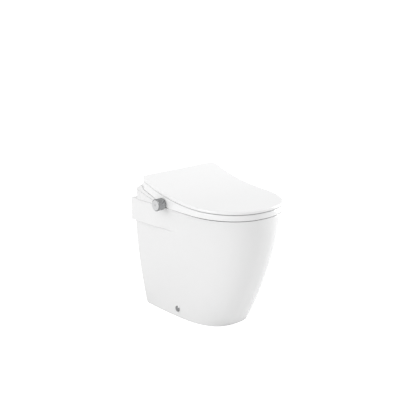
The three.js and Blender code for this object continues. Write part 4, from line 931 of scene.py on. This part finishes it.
# ---- caps, seals and fittings ----
def make_caps():
    """Chrome caps over the side screws: a lens on a short neck."""
    for side, name in ((-1, "right"), (1, "left")):
        node = f"side_cap_{name}"
        where, reach = middle(node), high(node) - low(node)
        outer = high(node)[0] if side > 0 else -low(node)[0]
        radius = reach[2] / 2
        depth, height = WALL_Y - where[1], where[2]
        share = np.linspace(1, 0, 12)
        dome = [(outer - CAP_BULGE * s**2.6, radius * s**0.75) for s in share]
        inner = outer - reach[0]
        shoulder = outer - CAP_BULGE
        profile = [(inner, 0), (inner, CAP_NECK), (shoulder, CAP_NECK), (shoulder, radius)] + dome[1:]
        cap = lathe(f"cap_{name}", profile, (0, depth, height), (side, 0, 0), 72)
        smooth(cap, 30)
        hand_over(cap, "pan_and_housing", "chrome", CHROME, node)


def part_line(cover, node):
    """Opens the joint under a side cover: a groove along the straight line where it meets the tray."""
    start, end = low(node), high(node)
    side = math.copysign(1, start[0])
    outer = max(abs(start[0]), abs(end[0]))
    line = [
        (depth, RIM + PARTING_RISE + PARTING_SLOPE * (HINGE_DEPTH - depth))
        for depth in (WALL_Y - end[1] - 5, WALL_Y - start[1] + 5)
    ]
    groove = [(depth, z - PARTING_BELOW) for depth, z in line]
    groove += [(depth, z + PARTING_ABOVE) for depth, z in line[::-1]]
    carve(cover, prism("groove", groove, side * (outer - PARTING_DEPTH), side * (outer + PARTING_DEPTH)))
    return smooth(cover, 35)


FROM_CAD = [
    ("outlet_collar", "pan_and_housing", "rubber", RUBBER, 0.8),
    ("flush_inlet_seal", "pan_and_housing", "rubber", RUBBER, 0.8),
    ("floor_bracket_right", "pan_and_housing", "steel", STEEL, 0.5),
    ("floor_bracket_left", "pan_and_housing", "steel", STEEL, 0.5),
    ("mounting_plate", "pan_and_housing", "steel", STEEL, 0.3),
    ("base_tray", "pan_and_housing", "white_plastic", HOUSING, 0.8),
    ("rear_cover", "pan_and_housing", "white_plastic", HOUSING, 0.8),
    ("side_cover_right", "pan_and_housing", "white_plastic", HOUSING, 0.8),
    ("side_cover_left", "pan_and_housing", "white_plastic", HOUSING, 0.8),
    ("seat_ring_base", "seat", "white_plastic", HOUSING, 0.3),
    ("water_inlet", "pan_and_housing", "brass", BRASS, 0.3),
    ("cord_gland", "pan_and_housing", "grey_plastic", GREY, 0.4),
    ("wing_nut_right", "pan_and_housing", "grey_plastic", GREY, 0.5),
    ("wing_nut_left", "pan_and_housing", "grey_plastic", GREY, 0.5),
    ("nozzle_guide", "pan_and_housing", "grey_plastic", GREY, 0.5),
    ("rear_nozzle_tip", "rear_nozzle", "satin", SATIN, 0.3),
    ("front_nozzle_tip", "front_nozzle", "satin", SATIN, 0.3),
    ("release_button", "release", "white_plastic", RESIN, 0.4),
    ("seat_buffer_1", "seat", "rubber", RUBBER, 0.6),
    ("seat_buffer_2", "seat", "rubber", RUBBER, 0.6),
    ("seat_buffer_3", "seat", "rubber", RUBBER, 0.6),
    ("seat_buffer_4", "seat", "rubber", RUBBER, 0.6),
    ("lid_buffer_right", "lid", "rubber", RUBBER, 0.6),
    ("lid_buffer_left", "lid", "rubber", RUBBER, 0.6),
]

BY_SLOT = {
    "glaze": GLAZE, "white_plastic": HOUSING, "chrome": CHROME, "satin": SATIN, "steel": STEEL,
    "rubber": RUBBER, "grey_plastic": GREY, "dark_plastic": DARK, "brass": BRASS, "board": BOARD,
    "copper": COPPER,
}


def dress_cad_nodes():
    """Gives every CAD node that still shows its finish, by the record's slot."""
    for part in frame["record"]["subparts"]:
        mesh = frame["nodes"][part["node"]].data
        mesh.materials.clear()
        mesh.materials.append(BY_SLOT[part["material_slot"]])


# ---- camera, floor and light ----
def aim(item, place, target):
    """Puts an object at a place, looking at a target."""
    back = (np.array(place) - np.array(target)).tolist()
    item.location = place
    item.rotation_mode = "QUATERNION"
    item.rotation_quaternion = Vector(back).to_track_quat("Z", "Y")


def make_camera():
    """A long lens a little above the lid, from the front right of the pan."""
    data = bpy.data.cameras.new("camera")
    data.lens = 99.63
    data.sensor_width = 36.0
    camera = bpy.data.objects.new("camera", data)
    bpy.context.scene.collection.objects.link(camera)
    aim(camera, (-2.5954, -2.8660, 1.4770), (-0.09745, -0.030, 0.46366))
    bpy.context.scene.camera = camera


def soft_light(name, place, target, size, power):
    """A large soft area light."""
    data = bpy.data.lights.new(name, "AREA")
    data.shape = "RECTANGLE"
    data.size, data.size_y = size
    data.energy = power
    lamp = bpy.data.objects.new(name, data)
    bpy.context.scene.collection.objects.link(lamp)
    aim(lamp, place, target)
    lamp.visible_camera = False
    return lamp


def seen_and_cast(tree, seen, cast):
    """A strength that is one value to the camera and another as light on the object."""
    path = tree.nodes.new("ShaderNodeLightPath")
    mix = tree.nodes.new("ShaderNodeMix")
    mix.inputs["A"].default_value = cast
    mix.inputs["B"].default_value = seen
    tree.links.new(path.outputs["Is Camera Ray"], mix.inputs["Factor"])
    return mix.outputs["Result"]


def make_studio():
    """A plain pale floor, pale surroundings and four soft lights."""
    floor = new_piece("floor", [(-30, -30, 0), (30, -30, 0), (30, 30, 0), (-30, 30, 0)], [[0, 1, 2, 3]])
    material = bpy.data.materials.new("pale_floor")
    material.use_nodes = True
    shader = material.node_tree.nodes["Principled BSDF"]
    shader.inputs["Base Color"].default_value = (0.7, 0.7, 0.7, 1)
    shader.inputs["Roughness"].default_value = 0.9
    shader.inputs["Specular IOR Level"].default_value = 0.0
    shader.inputs["Emission Color"].default_value = (1, 1, 1, 1)
    glow = seen_and_cast(material.node_tree, 0.7, 0.13)
    material.node_tree.links.new(glow, shader.inputs["Emission Strength"])
    floor.data.materials.append(material)
    world = bpy.data.worlds.new("studio")
    world.use_nodes = True
    sky = world.node_tree.nodes["Background"]
    sky.inputs["Color"].default_value = (1, 1, 1, 1)
    world.node_tree.links.new(seen_and_cast(world.node_tree, 1.0, 0.73), sky.inputs["Strength"])
    bpy.context.scene.world = world
    bpy.context.scene.view_settings.view_transform = "Standard"
    soft_light("key", (-3.2, -1.6, 2.6), (0, 0, 0.3), (2.4, 2.0), 13)
    soft_light("left_fill", (-3.2, 0.6, 1.6), (0, 0, 0.3), (2.0, 2.0), 30)
    soft_light("right_fill", (3.0, -0.6, 1.4), (0, 0, 0.3), (1.2, 2.0), 70)
    soft_light("top", (0, 0.4, 3.2), (0, 0, 0.4), (2.4, 2.4), 6)


make_camera()
make_studio()
make_pan()
make_ring()
make_lid()
make_knob()
make_knob_face()
make_bezel()
make_caps()
for node, body, slot, material, width in FROM_CAD:
    piece = from_cad(f"{node}_eased", node, width)
    if node.startswith("side_cover"):
        part_line(piece, node)
    hand_over(piece, body, slot, material, node)
dress_cad_nodes()
